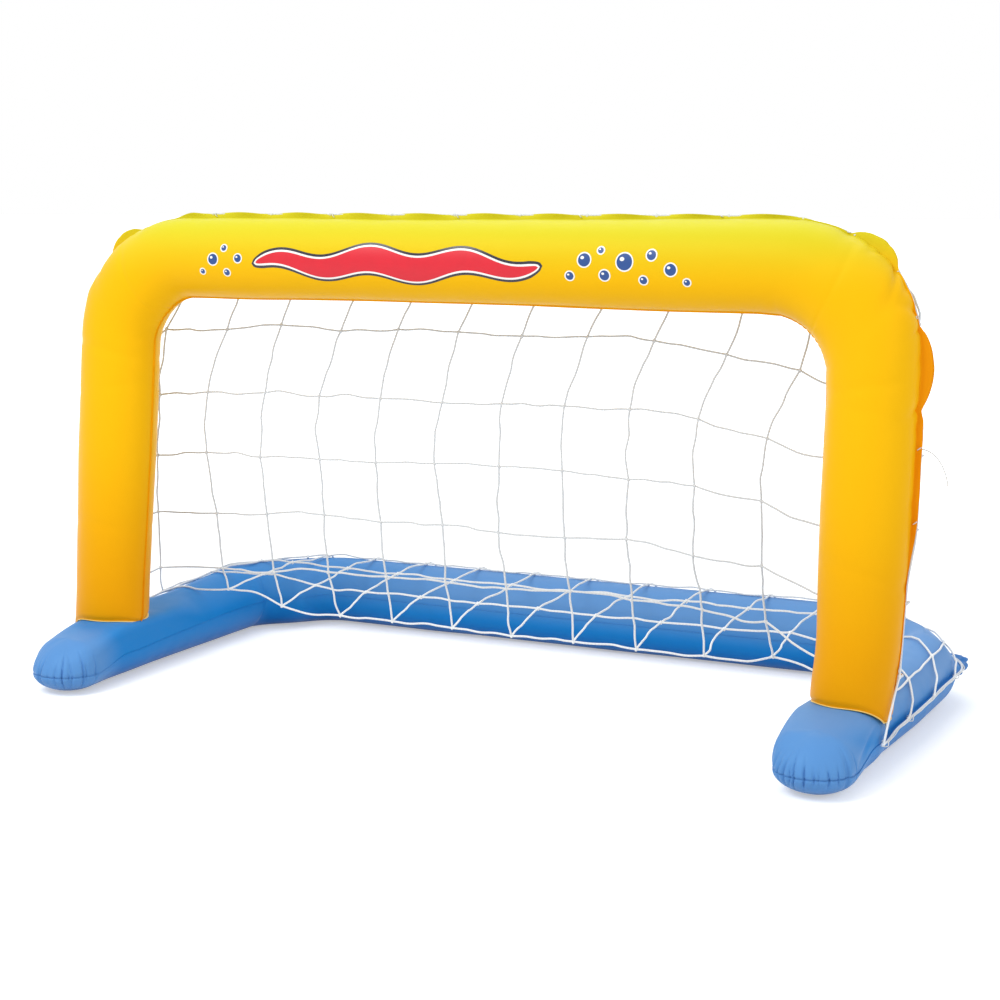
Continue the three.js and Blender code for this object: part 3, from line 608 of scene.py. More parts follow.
def twine_group() -> bpy.types.NodeTree:
    """Twisted cord: the lay of its strands by the cord's own length and angle, its lint, and painted shade on
    cord that lies higher than about 0.11 to 0.19 m.
    """
    group, t, given, result = new_group(
        "twisted_twine",
        [
            ("Tone", "NodeSocketColor", (1, 1, 1, 1)),
            ("Shade", "NodeSocketColor", (0.7, 0.7, 0.7, 1)),
            ("Pitch", "NodeSocketFloat", 0.006),
            ("High Shade", "NodeSocketFloat", 0.80),
        ],
        [("Color", "NodeSocketColor"), ("Height", "NodeSocketFloat")],
    )
    along = t.stored("along")
    around = t.stored("around")
    turns = t.math("DIVIDE", along, given["Pitch"])
    phase = t.math("MULTIPLY", t.math("MULTIPLY_ADD", around, 3.0, turns), 2 * math.pi)
    strand = t.math("MULTIPLY_ADD", t.math("SINE", phase), 0.5, 0.5)
    place = t.object_place()
    lint = t.noise(place, 1400.0, 2.0)
    share = t.math("MULTIPLY_ADD", lint, 0.25, t.math("MULTIPLY", strand, 0.75))
    colour = t.add(
        "ShaderNodeMix", {"Factor": share, "A": given["Shade"], "B": given["Tone"]}, data_type="RGBA"
    )
    # Painted shade: cord higher than 0.11 to 0.19 m keeps only a given share of its colour, 0.8 unless set.
    height = t.add("ShaderNodeSeparateXYZ", {0: place}).outputs[2]
    high = t.smooth_step(height, 0.11, 0.19)
    keep = t.math("SUBTRACT", 1.0, t.math("MULTIPLY", high, t.math("SUBTRACT", 1.0, given["High Shade"])))
    shaded_high = t.scaled(colour.outputs["Result"], keep)
    t.link(shaded_high, result["Color"])
    t.link(share, result["Height"])
    return group


def new_material(name: str) -> tuple[bpy.types.Material, Tree, bpy.types.Node]:
    """A material, the wrapper of its node tree and its main shader."""
    material = bpy.data.materials.new(name)
    material.use_nodes = True
    return material, Tree(material.node_tree), material.node_tree.nodes["Principled BSDF"]


@dataclass(frozen=True)
class FilmFinish:
    """Satin soft PVC film, whose sheen takes the film's own tint."""

    name: str
    # foot, deep and light: the film's colour with painted shade towards the floor and painted light high up
    # or where the mesh stores it.
    foot: tuple[float, float, float]
    deep: tuple[float, float, float]
    light: tuple[float, float, float]
    # weld: deeper tint of the double-film margins, partly painted shade.
    weld: tuple[float, float, float]
    sheen: tuple[float, float, float]
    middle: float
    low: float
    high: float
    gloss: float = 0.42
    specular: float = 0.16
    relief: float = 0.10

    def build(self, group: bpy.types.NodeTree) -> bpy.types.Material:
        """The material, with its colour, gloss and relief from the shared film group."""
        material, t, shader = new_material(self.name)
        film = t.add("ShaderNodeGroup", node_tree=group)
        for label, colour in (
            ("Foot", self.foot), ("Deep", self.deep), ("Light", self.light), ("Weld", self.weld)
        ):
            film.inputs[label].default_value = (*colour, 1)
        for label, value in (
            ("Middle", self.middle), ("Low", self.low), ("High", self.high), ("Gloss", self.gloss)
        ):
            film.inputs[label].default_value = value
        relief = t.add(
            "ShaderNodeBump", {"Height": film.outputs["Height"], "Strength": self.relief, "Distance": 0.01}
        )
        t.link(film.outputs["Color"], shader.inputs["Base Color"])
        t.link(film.outputs["Roughness"], shader.inputs["Roughness"])
        t.link(relief.outputs[0], shader.inputs["Normal"])
        shader.inputs["Specular IOR Level"].default_value = self.specular
        shader.inputs["Specular Tint"].default_value = (*self.sheen, 1)
        return material


@dataclass(frozen=True)
class TwineFinish:
    """Soft white twisted cord."""

    name: str
    tone: tuple[float, float, float]
    shade: tuple[float, float, float]
    pitch: float
    relief: float = 0.6
    roughness: float = 0.75
    fuzz: float = 0.25

    def build(self, group: bpy.types.NodeTree) -> bpy.types.Material:
        """The material, with its strands from the shared twine group."""
        material, t, shader = new_material(self.name)
        twine = t.add("ShaderNodeGroup", node_tree=group)
        twine.inputs["Tone"].default_value = (*self.tone, 1)
        twine.inputs["Shade"].default_value = (*self.shade, 1)
        twine.inputs["Pitch"].default_value = self.pitch
        relief = t.add(
            "ShaderNodeBump", {"Height": twine.outputs["Height"], "Strength": self.relief, "Distance": 0.0004}
        )
        t.link(twine.outputs["Color"], shader.inputs["Base Color"])
        t.link(relief.outputs[0], shader.inputs["Normal"])
        shader.inputs["Roughness"].default_value = self.roughness
        shader.inputs["Sheen Weight"].default_value = self.fuzz
        return material


@dataclass(frozen=True)
class PlainFinish:
    """Ink or moulded plastic: one tone with a faint mottle in its colour and gloss."""

    name: str
    tone: tuple[float, float, float]
    roughness: float
    mottle: float = 0.08
    scale: float = 60.0
    transmission: float = 0.0

    def build(self) -> bpy.types.Material:
        """The material."""
        material, t, shader = new_material(self.name)
        place = t.object_place()
        cloud = t.noise(place, self.scale, 3.0)
        low = tuple(max(0.0, c * (1 - self.mottle)) for c in self.tone)
        high = tuple(min(1.0, c * (1 + self.mottle)) for c in self.tone)
        colour = t.add("ShaderNodeMix", {"Factor": cloud, "A": (*low, 1), "B": (*high, 1)}, data_type="RGBA")
        rough = t.math("MULTIPLY_ADD", cloud, 0.12, self.roughness - 0.06)
        t.link(colour.outputs["Result"], shader.inputs["Base Color"])
        t.link(rough, shader.inputs["Roughness"])
        relief = t.add("ShaderNodeBump", {"Height": cloud, "Strength": 0.1, "Distance": 0.001})
        t.link(relief.outputs[0], shader.inputs["Normal"])
        shader.inputs["Transmission Weight"].default_value = self.transmission
        return material


def build_finishes() -> Finishes:
    """All the goal's materials by finish."""
    film, twine = film_group(), twine_group()
    return {
        # Each film's foot and deep colours paint shade towards the floor; the yellow's light colour paints
        # light high up, the blue's only where the base stores painted light.
        Finish.YELLOW: FilmFinish(
            "yellow_pvc", (0.76, 0.300, 0.003), (0.89, 0.475, 0.005), (0.60, 0.56, 0.021), (0.94, 0.60, 0.60),
            (1.0, 0.72, 0.12), 0.50, 0.655, 0.765,
        ).build(film),
        Finish.BLUE: FilmFinish(
            "blue_pvc", (0.004, 0.150, 0.50), (0.008, 0.205, 0.58), (0.118, 0.280, 0.585), (0.50, 0.72, 0.85),
            (0.35, 0.70, 1.0), 0.05, 2.0, 3.0,
        ).build(film),
        Finish.NET: TwineFinish("net_twine", (0.90, 0.92, 0.94), (0.74, 0.76, 0.78), 0.006).build(twine),
        Finish.LACING: TwineFinish(
            "lacing_twine", (0.92, 0.92, 0.90), (0.72, 0.72, 0.71), 0.0045
        ).build(twine),
        Finish.WELD: PlainFinish("weld_bead", (0.88, 0.62, 0.16), 0.45, 0.1).build(),
        Finish.VALVE: PlainFinish("valve_moulding", (0.80, 0.82, 0.83), 0.3, transmission=0.25).build(),
        Finish.PRINT_RED: PlainFinish("print_red", (0.66, 0.006, 0.022), 0.45).build(),
        Finish.PRINT_WHITE: PlainFinish("print_white", (0.88, 0.87, 0.84), 0.3, 0.03).build(),
        Finish.PRINT_DARK: PlainFinish("print_dark", (0.018, 0.016, 0.03), 0.28).build(),
        Finish.PRINT_BLUE: PlainFinish("print_blue", (0.010, 0.060, 0.24), 0.4).build(),
    }


# ---------------------------------------------------------------- arch


@dataclass(frozen=True)
class Station:
    """One cross-section of the arch: its middle in the arch's plane, its outward direction and sizes."""

    x: float
    rise: float
    out_x: float
    out_rise: float
    outer: float
    inner: float
    depth: float
    length: float
    foot: float = -1.0


@dataclass(frozen=True)
class Pucker:
    """A lobe of the flat margin between two pinches, by seam length from the crossbar's middle."""

    low: float
    high: float
    out: float
    curl: float = 0.0

    def at(self, length: Array | float) -> Array | float:
        """The lobe's share at a length, from 0 to 1."""
        return lobe(length, self.low, self.high)


@dataclass(frozen=True)
class Fold:
    """A crease that runs from the seam into the film: place, width, depth, how far round, and slant."""

    place: float
    width: float
    depth: float
    round: float = 0.5
    slant: float = 0.0


@dataclass
class Arch:
    """The yellow arch: two inflated films welded along a flat margin, puckered at its outer corners."""

    layout: Layout
    leg_rows: int = 96
    corner_rows: int = 130
    bar_rows: int = 170
    arc_columns: int = 44
    film: float = 0.0004
    gap: float = 0.0002
    inner_margin: float = 0.0022
    foot_tuck: float = 0.0028
    tie_pitch: float = 0.110
    tie_shift: float = -0.034
    inner_ease: float = 0.0020
    bar_margin: tuple[float, float] = (0.0078, 0.0098)
    leg_margin: tuple[float, float] = (0.0088, 0.0012)
    corner_margin: float = 0.0018
    foot_margin: float = 0.0004
    foot_start: float = 1.235
    bar_curl: float = 0.0026
    leg_curl: float = 0.0014
    lobe_curl: float = 0.006
    tie_pull: float = 0.0010
    inner_gather: float = 0.0011
    gather_pitch: float = 0.027
    stations: list[Station] = field(default_factory=list)
    dents: tuple[tuple[float, float, float], ...] = (
        (-0.835, 0.016, 0.0014), (0.845, -0.012, 0.0015), (0.880, 0.010, 0.0008), (-0.905, -0.010, 0.0008),
        (1.120, 0.014, 0.0007), (-1.150, 0.012, 0.0007), (-0.655, 0.030, 0.0009), (0.640, -0.028, 0.0010),
    )
    puckers: tuple[Pucker, ...] = (
        Pucker(0.596, 0.678, 0.0145, 0.5), Pucker(0.756, 0.876, 0.0160, 1.0),
        Pucker(-0.678, -0.606, 0.0135, -0.4),
    )
    folds: tuple[Fold, ...] = tuple(Fold(*row) for row in (
        (0.590, 0.010, 0.0040, 0.55, 0.02), (0.625, 0.005, 0.0022, 0.3, 0.03),
        (0.645, 0.0035, 0.0030, 0.25, -0.02), (0.672, 0.0055, 0.0062, 0.55, 0.05),
        (0.700, 0.008, 0.0026, 0.7, 0.03), (0.735, 0.007, 0.0042, 0.5, -0.02),
        (0.762, 0.0035, 0.0030, 0.3, 0.02), (0.800, 0.009, 0.0016, 0.5, 0.02),
        (0.872, 0.006, 0.0048, 0.5, 0.03), (0.900, 0.008, 0.0018, 0.4, 0.0),
        (1.010, 0.010, 0.0013, 0.4, 0.0), (1.130, 0.008, 0.0018, 0.4, 0.0),
        (-0.585, 0.010, 0.0036, 0.6, -0.03), (-0.610, 0.005, 0.0028, 0.4, -0.02),
        (-0.645, 0.004, 0.0026, 0.3, 0.02), (-0.682, 0.006, 0.0060, 0.6, -0.04),
        (-0.712, 0.007, 0.0030, 0.5, -0.02), (-0.760, 0.010, 0.0016, 0.5, 0.0),
    ))

    def __post_init__(self) -> None:
        """Lays out the cross-sections from the left foot to the right foot."""
        self.stations = self.half(-1)[::-1] + self.half(1)[1:]

    def half(self, side: int) -> list[Station]:
        """The cross-sections from the crossbar's middle to one foot."""
        lay = self.layout
        made: list[Station] = []

        def add(
            x: float, rise: float, out_x: float, out_rise: float, extra: float, inner: float, length: float,
            foot: float = -1.0,
        ) -> None:
            """Adds one cross-section, with its outer and inner sides' fullness."""
            width, depth = lay.half_width_at(rise), lay.half_depth_at(rise)
            leg = lay.leg_fullness(side * length)
            outer = width + extra + leg
            place = (side * x, rise, side * out_x, out_rise)
            made.append(Station(*place, outer, width + inner, depth, side * length, foot))

        half_bar = self.bar_rows // 2
        for k in range(half_bar + 1):
            x = lay.arc_x * k / half_bar
            thin = float(lay.bar_slim(side * x))
            if side > 0:
                thin += self.inner_ease * ramp(x, 0.46, 0.04)
            add(x, lay.bar_rise, 0, 1, float(lay.bar_lift(side * x)), thin, x)
        for k in range(1, self.corner_rows + 1):
            angle = QUARTER * k / self.corner_rows
            sin, cos = math.sin(angle), math.cos(angle)
            bulge = math.sin(2 * angle) ** 2
            thin = float(lay.bar_slim(-lay.arc_x)) * (1 - float(smooth(angle))) + 0.0050 * bulge**0.6
            if side > 0:
                thin = self.inner_ease + 0.0062 * bulge**0.35
            length = lay.arc_x + lay.seam_radius * angle
            add(
                lay.arc_x + lay.corner_radius * sin, lay.arc_rise + lay.corner_radius * cos, sin, cos,
                lay.fullness_at(angle) + float(lay.bar_lift(side * length)), thin, length,
            )
        for k in range(1, self.leg_rows + 1):
            share = 1 - (1 - (k / self.leg_rows)) ** 1.35
            rise = lay.arc_rise * (1 - share)
            ease = self.inner_ease * ramp(rise, 0.46, 0.045) if side > 0 else 0.0
            add(lay.leg_x, rise, 1, 0, 0.0, ease, lay.arc_x + lay.corner_arc + lay.arc_rise - rise, share)
        return made

    def margin_out(self, length: float) -> float:
        """How far the flat margin reaches beyond the seam at a place along the arch."""
        lay, along = self.layout, abs(length)
        wave = 0.5 - 0.5 * math.cos(2 * math.pi * (length - self.tie_shift) / self.tie_pitch)
        bar = mix(*self.bar_margin, wave) - 0.8 * float(lay.bar_lift(length))
        out = mix(bar, self.corner_margin, ramp(along, lay.bar_margin_end, 0.045))
        if length > 0:
            side = mix(*self.leg_margin, ramp(along, lay.leg_margin_end, 0.09))
            out = mix(out, side, ramp(along, lay.leg_margin_start, 0.03))
        for pucker in self.puckers:
            out = out + pucker.out * float(pucker.at(length))
        return mix(out, self.foot_margin, ramp(along, self.foot_start, 0.05))

    def margin_curl(self, length: float) -> float:
        """How far the flat margin's edge leans back, in metres."""
        along = abs(length)
        wave = math.sin(2 * math.pi * (length - self.tie_shift) / self.tie_pitch + 0.5)
        curl = self.bar_curl * wave * (1.0 - ramp(along, 0.50, 0.04))
        on_leg = ramp(along, 0.88, 0.03) * (1.0 - ramp(along, 1.1, 0.1))
        curl += self.leg_curl * math.sin(length * 71) * on_leg
        for pucker in self.puckers:
            curl += self.lobe_curl * pucker.curl * float(pucker.at(length))
        return curl

    def relief(self, length: Array, angle: Array, side: int) -> Array:
        """How deep the film is drawn in from its full section.

        Args:
            length: Place along the outer seam.
            angle: Place round the section, from 0 at the outer seam to pi at the inner one.
            side: -1 for the front film and 1 for the back one.

        Returns:
            Depth below the full section, in metres.
        """
        depth = 0.0005 * ripple(length, angle * 0.06, 5 + side, 0.34, 2)
        for fold in self.folds:
            centre = fold.place + fold.slant * angle
            near = np.exp(-((angle / (1.25 * fold.round)) ** 1.5))
            depth = depth + 0.8 * fold.depth * near * bump(length, centre, fold.width * (1 + 1.3 * angle))
        for place, lean, soft in self.dents:
            depth = depth + soft * np.sin(angle) ** 0.5 * bump(length, place + lean * np.cos(angle), 0.007)
        near = np.exp(-angle / 0.35)
        wave = 0.5 + 0.5 * np.cos(2 * np.pi * (length - self.tie_shift) / self.tie_pitch)
        depth = depth + self.tie_pull * near * wave**4 * (np.abs(length) < 0.52)
        inner = np.exp(-(math.pi - angle) / 0.22)
        around = bump(np.abs(length), 0.66, 0.085)
        gather = 0.5 + 0.5 * np.sin(length * 2 * math.pi / self.gather_pitch)
        return depth + self.inner_gather * inner * gather**2 * around

    def section(self, station: Station, side: int) -> tuple[Array, Array]:
        """The columns of one cross-section: places across the tube, and heights off the seam plane."""
        out, curl = self.margin_out(station.length), self.margin_curl(station.length)
        lift = self.gap + self.film
        angle = math.pi * (0.5 - 0.5 * np.cos(math.pi * np.linspace(0.0, 1.0, self.arc_columns)))
        angle = 0.6 * angle + 0.4 * math.pi * np.linspace(0.0, 1.0, self.arc_columns)
        drawn = self.relief(np.full_like(angle, station.length), angle, side)
        tuck = 0.0
        if station.foot > 0:
            above = (1 - station.foot) * self.layout.arc_rise
            tuck = self.foot_tuck * math.exp(-((above / 0.006) ** 2))
        half = np.where(angle <= QUARTER, station.outer, station.inner) - tuck
        across = np.cos(angle) * (half - drawn)
        arc_lift = np.maximum(lift, (station.depth - tuck - drawn) * np.sin(angle))
        edge = float(across[0]) + 0.6 * float(drawn[0])
        shares = np.array([1.0, 0.8, 0.6, 0.4, 0.2])
        flat_across = edge + out * shares
        flat_lift = lift + side * curl * shares**2
        inner_across = float(across[-1]) - self.inner_margin * np.array([0.5, 1.0])
        across = np.concatenate([flat_across, across, inner_across])
        return across, np.concatenate([flat_lift, arc_lift, [lift, lift]])

    def place(self, station: Station, across: Array, back: Array) -> Array:
        """Points of a cross-section in the goal's frame; a leg's rows end on the arm's rounded top."""
        lay = self.layout
        side = 1 if station.x > 0 else -1
        x = station.x + station.out_x * across
        rise = station.rise + station.out_rise * across
        if station.foot > 0:
            sin, cos = math.sin(lay.lean), math.cos(lay.lean)
            seat = lay.arm_top(across, back, side)
            low = (seat + lay.foot_clearance - lay.seam_height + back * sin) / cos
            rise = low + (lay.arc_rise - low) * (1 - station.foot)
            turn = lay.foot_turn_in[side > 0]
            x = x - side * turn * float(smooth((0.115 - (1 - station.foot) * lay.arc_rise) / 0.115))
        return lay.arch_point(x, rise, back)

    def build(self, finishes: Finishes) -> None:
        """Makes the front and back films."""
        for side, name, node in (
            (-1, "arch_front_film", "arch_front_panel"), (1, "arch_back_film", "arch_back_panel")
        ):
            rows = []
            for station in self.stations:
                across, lift = self.section(station, side)
                rows.append(self.place(station, across, side * lift))
            grid = np.array(rows)
            piece = plain_mesh(name, grid, grid_faces(*grid.shape[:2], flip=side < 0))
            # Weld value: a deeper margin tint, partly painted shade; faint along the crossbar and the
            # corners' upper parts, full lower on the corners and on the legs.
            margin = np.zeros(grid.shape[:2])
            low = np.array(
                [mix(0.12, 1.0, float(smooth((abs(s.length) - 0.69) / 0.07))) for s in self.stations]
            )
            margin[:, :5] = low[:, None]
            margin[:, 5] = 0.6 * low
            margin[:, -3:] = 0.5
            set_attribute(piece, "weld", margin)
            solidify(piece, self.film)
            dressed(piece, finishes[Finish.YELLOW], GOAL, [node])

    def surface(self, x: Array, angle: Array, lift: float) -> Array:
        """Points on the crossbar's front, a little proud of the film.

        Args:
            x: Places along the bar.
            angle: Places round the section, from 0 at the top seam.
            lift: Height above the film.

        Returns:
            One point for each place.
        """
        lay = self.layout
        drawn = self.relief(x, angle, -1)
        thin = lay.bar_slim(x)
        half = lay.half_width + np.where(angle <= QUARTER, lay.bar_lift(x), thin)
        across = (half - drawn + lift) * np.cos(angle)
        back = -(lay.half_depth - drawn + lift) * np.sin(angle)
        return lay.arch_point(x, lay.bar_rise + across, back)


@dataclass
class FootWeld:
    """The oval patch that closes a leg's foot, with its pale weld bead on the arm's rounded top."""

    layout: Layout
    spokes: int = 120
    inset: float = 0.0030
    film: float = 0.0003

    def build(self, side: int, finishes: Finishes) -> None:
        """Makes the patch of the left (-1) or right (1) leg."""
        lay = self.layout
        turn = np.linspace(0, 2 * math.pi, self.spokes, endpoint=False)
        half_width, half_depth = lay.leg_half_width - self.inset, lay.leg_half_depth - self.inset
        profile = (
            (-40.0, 0.4), (-20.0, 0.4), (-8.0, 0.4), (-2.0, 0.5), (-0.6, 0.8), (0.1, 1.2), (0.8, 1.3),
            (1.4, 1.0), (1.6, 0.5), (1.5, 0.1),
        )
        foot_x = lay.leg_x - lay.foot_turn_in[side > 0]
        points = []
        for away, height in profile:
            lip = 1.0 + 0.9 * bump(-np.cos(turn), 1.0, 0.5) * (side < 0)
            grow = away * 1e-3 * np.where(away > 0, lip, 1.0)
            stout = lay.left_leg_fullness * smooth(np.cos(turn) / 0.5) * (side < 0)
            outward = (half_width + grow + stout) * np.cos(turn)
            reach = (half_depth + grow) * np.sin(turn)
            top = lay.arm_top(outward, reach, side) + height * 1e-3
            lean = (top - lay.seam_height) * math.tan(lay.lean)
            x = side * (foot_x + outward)
            points.append(np.stack([x, lay.foot_y + reach + lean, top], axis=-1))
        ring, count = self.spokes, len(profile)
        faces = []
        for i in range(count - 1):
            for j in range(ring):
                k = (j + 1) % ring
                quad = [i * ring + j, (i + 1) * ring + j, (i + 1) * ring + k, i * ring + k]
                faces.append(quad if side > 0 else quad[::-1])
        centre = [side * foot_x, lay.foot_y + 0.0048, 2 * lay.arm_half_height + 0.0004]
        grid = np.concatenate([np.array(points).reshape(-1, 3), [centre]])
        for j in range(ring):
            fan = [count * ring, j, (j + 1) % ring]
            faces.append(fan if side > 0 else fan[::-1])
        name = "left" if side < 0 else "right"
        piece = plain_mesh(f"{name}_foot_weld", grid, faces)
        solidify(piece, self.film)
        dressed(piece, finishes[Finish.WELD], GOAL, [f"{name}_leg_end_panel"])


# ---------------------------------------------------------------- base


@dataclass(frozen=True)
class RimPlace:
    """One place of the base's outline: its spine point, the direction to the seam, and its seam place."""

    x: float
    reach: float
    dx: float
    dy: float
    turn: float
    zone: str
    side: int


@dataclass
class Base:
    """The blue U-shaped base: two inflated sheets, creased round the toes and at the rear corners."""

    layout: Layout
    toe_turns: int = 108
    corner_turns: int = 64
    step: float = 0.007
    columns: int = 26
    film: float = 0.0004
    gap: float = 0.00003
    hidden_margin: float = 0.0006
    tip_out: float = 0.017
    tip_droop: float = 0.006
    toe_pinch: float = 0.0016
    arm_crease: float = 0.0022
    toe_power: float = 1.72
    toe_slope: float = 0.11
    inner_round: float = 0.014
    toe_creases: int = 15
    corner_creases: int = 9
    outline: list[RimPlace] = field(default_factory=list)

    def __post_init__(self) -> None:
        """Lays out the seam line round the whole U."""
        lay = self.layout
        toe_y = lay.base_half_width - lay.toe_reach
        arm = np.linspace(toe_y, lay.base_arc_y, int((lay.base_arc_y - toe_y) / self.step))[1:-1]
        bar = np.linspace(-lay.base_arc_x, lay.base_arc_x, int(2 * lay.base_arc_x / self.step))[1:-1]
        turns = np.linspace(0.0, 1.0, self.corner_turns)
        places: list[RimPlace] = []

        def add(x: float, reach: float, dx: float, dy: float, turn: float, zone: str, side: int) -> None:
            """Adds one place."""
            places.append(RimPlace(float(x), float(reach), float(dx), float(dy), float(turn), zone, side))

        def toe(side: int) -> None:
            """Adds a toe from its right side round its front to its left side."""
            for k in range(self.toe_turns + 1):
                angle = math.pi * k / self.toe_turns
                add(side * lay.leg_x, toe_y, math.cos(angle), -math.sin(angle), angle, "toe", side)

        def corner(side: int, facing: int, steps: Iterable[float]) -> None:
            """Adds a rear corner, on its outer (1) or inner (-1) side."""
            for share in steps:
                angle = QUARTER * share
                across, along = side * math.sin(angle), math.cos(angle)
                x = side * lay.base_arc_x + lay.base_corner_radius * across
                reach = lay.base_arc_y + lay.base_corner_radius * along
                add(x, reach, facing * across, facing * along, angle, "corner", side * facing)

        toe(-1)
        for reach in arm:
            add(-lay.leg_x, reach, -1, 0, 0, "arm", -1)
        corner(-1, 1, turns[::-1])
        for x in bar:
            add(x, lay.rear_reach, 0, 1, 0, "bar", 1)
        corner(1, 1, turns)
        for reach in arm[::-1]:
            add(lay.leg_x, reach, 1, 0, 0, "arm", 1)
        toe(1)
        for reach in arm:
            add(lay.leg_x, reach, -1, 0, 0, "arm", 2)
        corner(1, -1, turns[::-1])
        for x in bar[::-1]:
            add(x, lay.rear_reach, 0, -1, 0, "bar", -1)
        corner(-1, -1, turns)
        for reach in arm[::-1]:
            add(-lay.leg_x, reach, 1, 0, 0, "arm", -2)
        self.outline = places

    def creases(self, place: RimPlace, share: Array, facing: int) -> Array:
        """How deep the film is drawn in near the seam of one outline place.

        Args:
            place: The outline place.
            share: Section angle from 0 at the seam to 1 at the spine.
            facing: 1 for the top film and -1 for the bottom one.

        Returns:
            Depth below the full section for each column, in metres.
        """
        x, reach = place.x + place.dx * 0.057, place.reach + place.dy * 0.057
        depth = 0.0005 * (1 + ripple(np.full_like(share, x), reach + share * 0.05, 11 + facing, 0.25, 2))
        if place.zone == "toe":
            rng = np.random.default_rng(31 + place.side)
            for k in range(self.toe_creases):
                centre = math.pi * (k + 0.5) / self.toe_creases + rng.uniform(-0.09, 0.09)
                deep = rng.uniform(0.0014, 0.0048)
                length = rng.uniform(0.20, 0.42)
                width = rng.uniform(0.020, 0.040)
                centre = centre + rng.uniform(-0.25, 0.25) * share
                depth = depth + deep * bump(place.turn, centre, width) * np.exp(-((share / length) ** 2.5))
            depth = depth + self.toe_pinch * np.exp(-((share / 0.035) ** 2))
        if place.zone == "corner" and self.outer(place):
            rng = np.random.default_rng(47 + place.side)
            for k in range(self.corner_creases):
                centre = QUARTER * (k + 0.5) / self.corner_creases + rng.uniform(-0.05, 0.05)
                centre = centre + rng.uniform(-0.3, 0.3) * share
                deep, length = rng.uniform(0.0010, 0.0040), rng.uniform(0.25, 0.5)
                depth = depth + deep * bump(place.turn, centre, 0.035) * np.exp(-((share / length) ** 2))
        if place.zone == "arm" and self.outer(place) and facing > 0:
            line = 0.05 + 2.4 * (place.reach + 0.124)
            fade = float(lobe(place.reach, -0.150, -0.015))
            depth = depth + self.arm_crease * fade * np.exp(-(((share - line) / 0.055) ** 2))
        return depth

    def ear(self, place: RimPlace) -> float:
        """How far the seam stands out at a rear corner's pinched tip."""
        outward = place.zone == "corner" and self.outer(place)
        return self.tip_out * float(bump(place.turn, 1.12, 0.32)) if outward else 0.0

    def section(self, place: RimPlace, facing: int) -> tuple[Array, Array, float]:
        """Places across from the spine, heights off the seam, and the seam's height of one outline place."""
        lay = self.layout
        outer = self.outer(place)
        full = 2 * lay.base_half_height(place.reach)
        seam = lay.base_seam_height(place.reach)
        side = 1 if place.x > 0 else -1
        share = np.linspace(0.0, 1.0, self.columns) ** 1.2
        drawn = self.creases(place, share, facing)
        half = lay.base_half_width
        outward = place.dx * side
        if place.zone in ("arm", "toe"):
            half += -float(lay.slim_at(place.reach)) * max(0.0, outward) + lay.arm_inside * max(0.0, -outward)
        if place.zone == "corner":
            half -= float(lay.slim_at(place.reach)) * max(0.0, outward) ** 4 if outer else 0.0
            half += 0.0 if outer else self.inner_round * math.sin(2 * place.turn) ** 2
        if facing > 0:
            height, power = full - seam, 2.0
            if place.zone in ("arm", "toe"):
                w = 0.5 + 0.5 * outward
                strength = mix(float(lay.seat_power(-1.0, side)), float(lay.seat_power(1.0, side)), w) - 2.0
                power += strength * float(lay.seat_share(place.reach + place.dy * half * 0.6))
            if place.zone == "corner" and outer:
                power = lay.corner_section(place.turn)
                height *= 1.0 - 0.04 * math.sin(2 * place.turn) ** 2
            if place.zone == "toe":
                power = mix(power, self.toe_power, float(smooth(place.dy * -1.1)))
        else:
            height, power = seam, 2.0
        angle = share * QUARTER
        ear = self.ear(place)
        across = (half + ear * np.exp(-share / 0.10) - drawn) * np.cos(angle) ** (2 / power)
        lift = (height - drawn) * np.sin(angle) ** (2 / power)
        if place.zone == "toe" and facing > 0:
            ahead = np.clip(-place.dy * across / half, 0.0, 1.0)
            lift = lift * (1.0 - self.toe_slope * ahead)
        lift = np.maximum(lift, self.gap + self.film)
        if facing < 0:
            lift = np.minimum(lift, height - 0.0004)
        across[-1], lift[-1] = 0.0, height - (0.0004 if facing < 0 else 0.0)
        margin = lay.margin - 0.0012
        if place.zone == "toe":
            margin = self.hidden_margin
        elif place.zone == "arm":
            margin = mix(self.hidden_margin, margin, ramp(place.reach, -0.03, 0.07))
        if not outer:
            margin = self.hidden_margin
        shares = np.array([1.0, 0.6, 0.25])
        droop = 0.0012 * shares**2 * math.sin(place.x * 57 + place.reach * 49) * (margin > 0.002)
        if place.zone == "corner" and outer:
            droop = droop + self.tip_droop * shares**2 * float(bump(place.turn, 1.2, 0.2))
        edge = half + ear
        return (
            np.concatenate([edge + shares * margin - float(drawn[0]), across]),
            np.concatenate([self.gap + self.film + facing * droop, lift]),
            seam,
        )

    def outer(self, place: RimPlace) -> bool:
        """Whether an outline place is on the U's outer side."""
        if place.zone == "bar":
            return place.dy > 0
        if place.zone == "corner":
            return place.dx * place.x > 0 or (abs(place.dx) < 1e-9 and place.dy > 0)
        return place.dx * place.x > 0

    def painted_light_share(self, grid: Array) -> Array:
        """Painted light on the film: most on the toes and on the tops of the rear bar and the right arm."""
        x, reach, z = grid[..., 0], grid[..., 1] - self.layout.foot_y, grid[..., 2]
        toe = 0.85 * smooth((-0.050 - reach) / 0.075)
        to_right = 0.55 + 0.45 * smooth((x + 0.60) / 0.4)
        rear = smooth((z - 0.036) / 0.050) * smooth((reach - 0.28) / 0.18) * to_right
        right = smooth((z - 0.045) / 0.045) * smooth((x - 0.45) / 0.1)
        left = 0.22 * smooth((z - 0.06) / 0.04)
        return np.maximum(np.maximum(toe, rear), np.maximum(right, left))

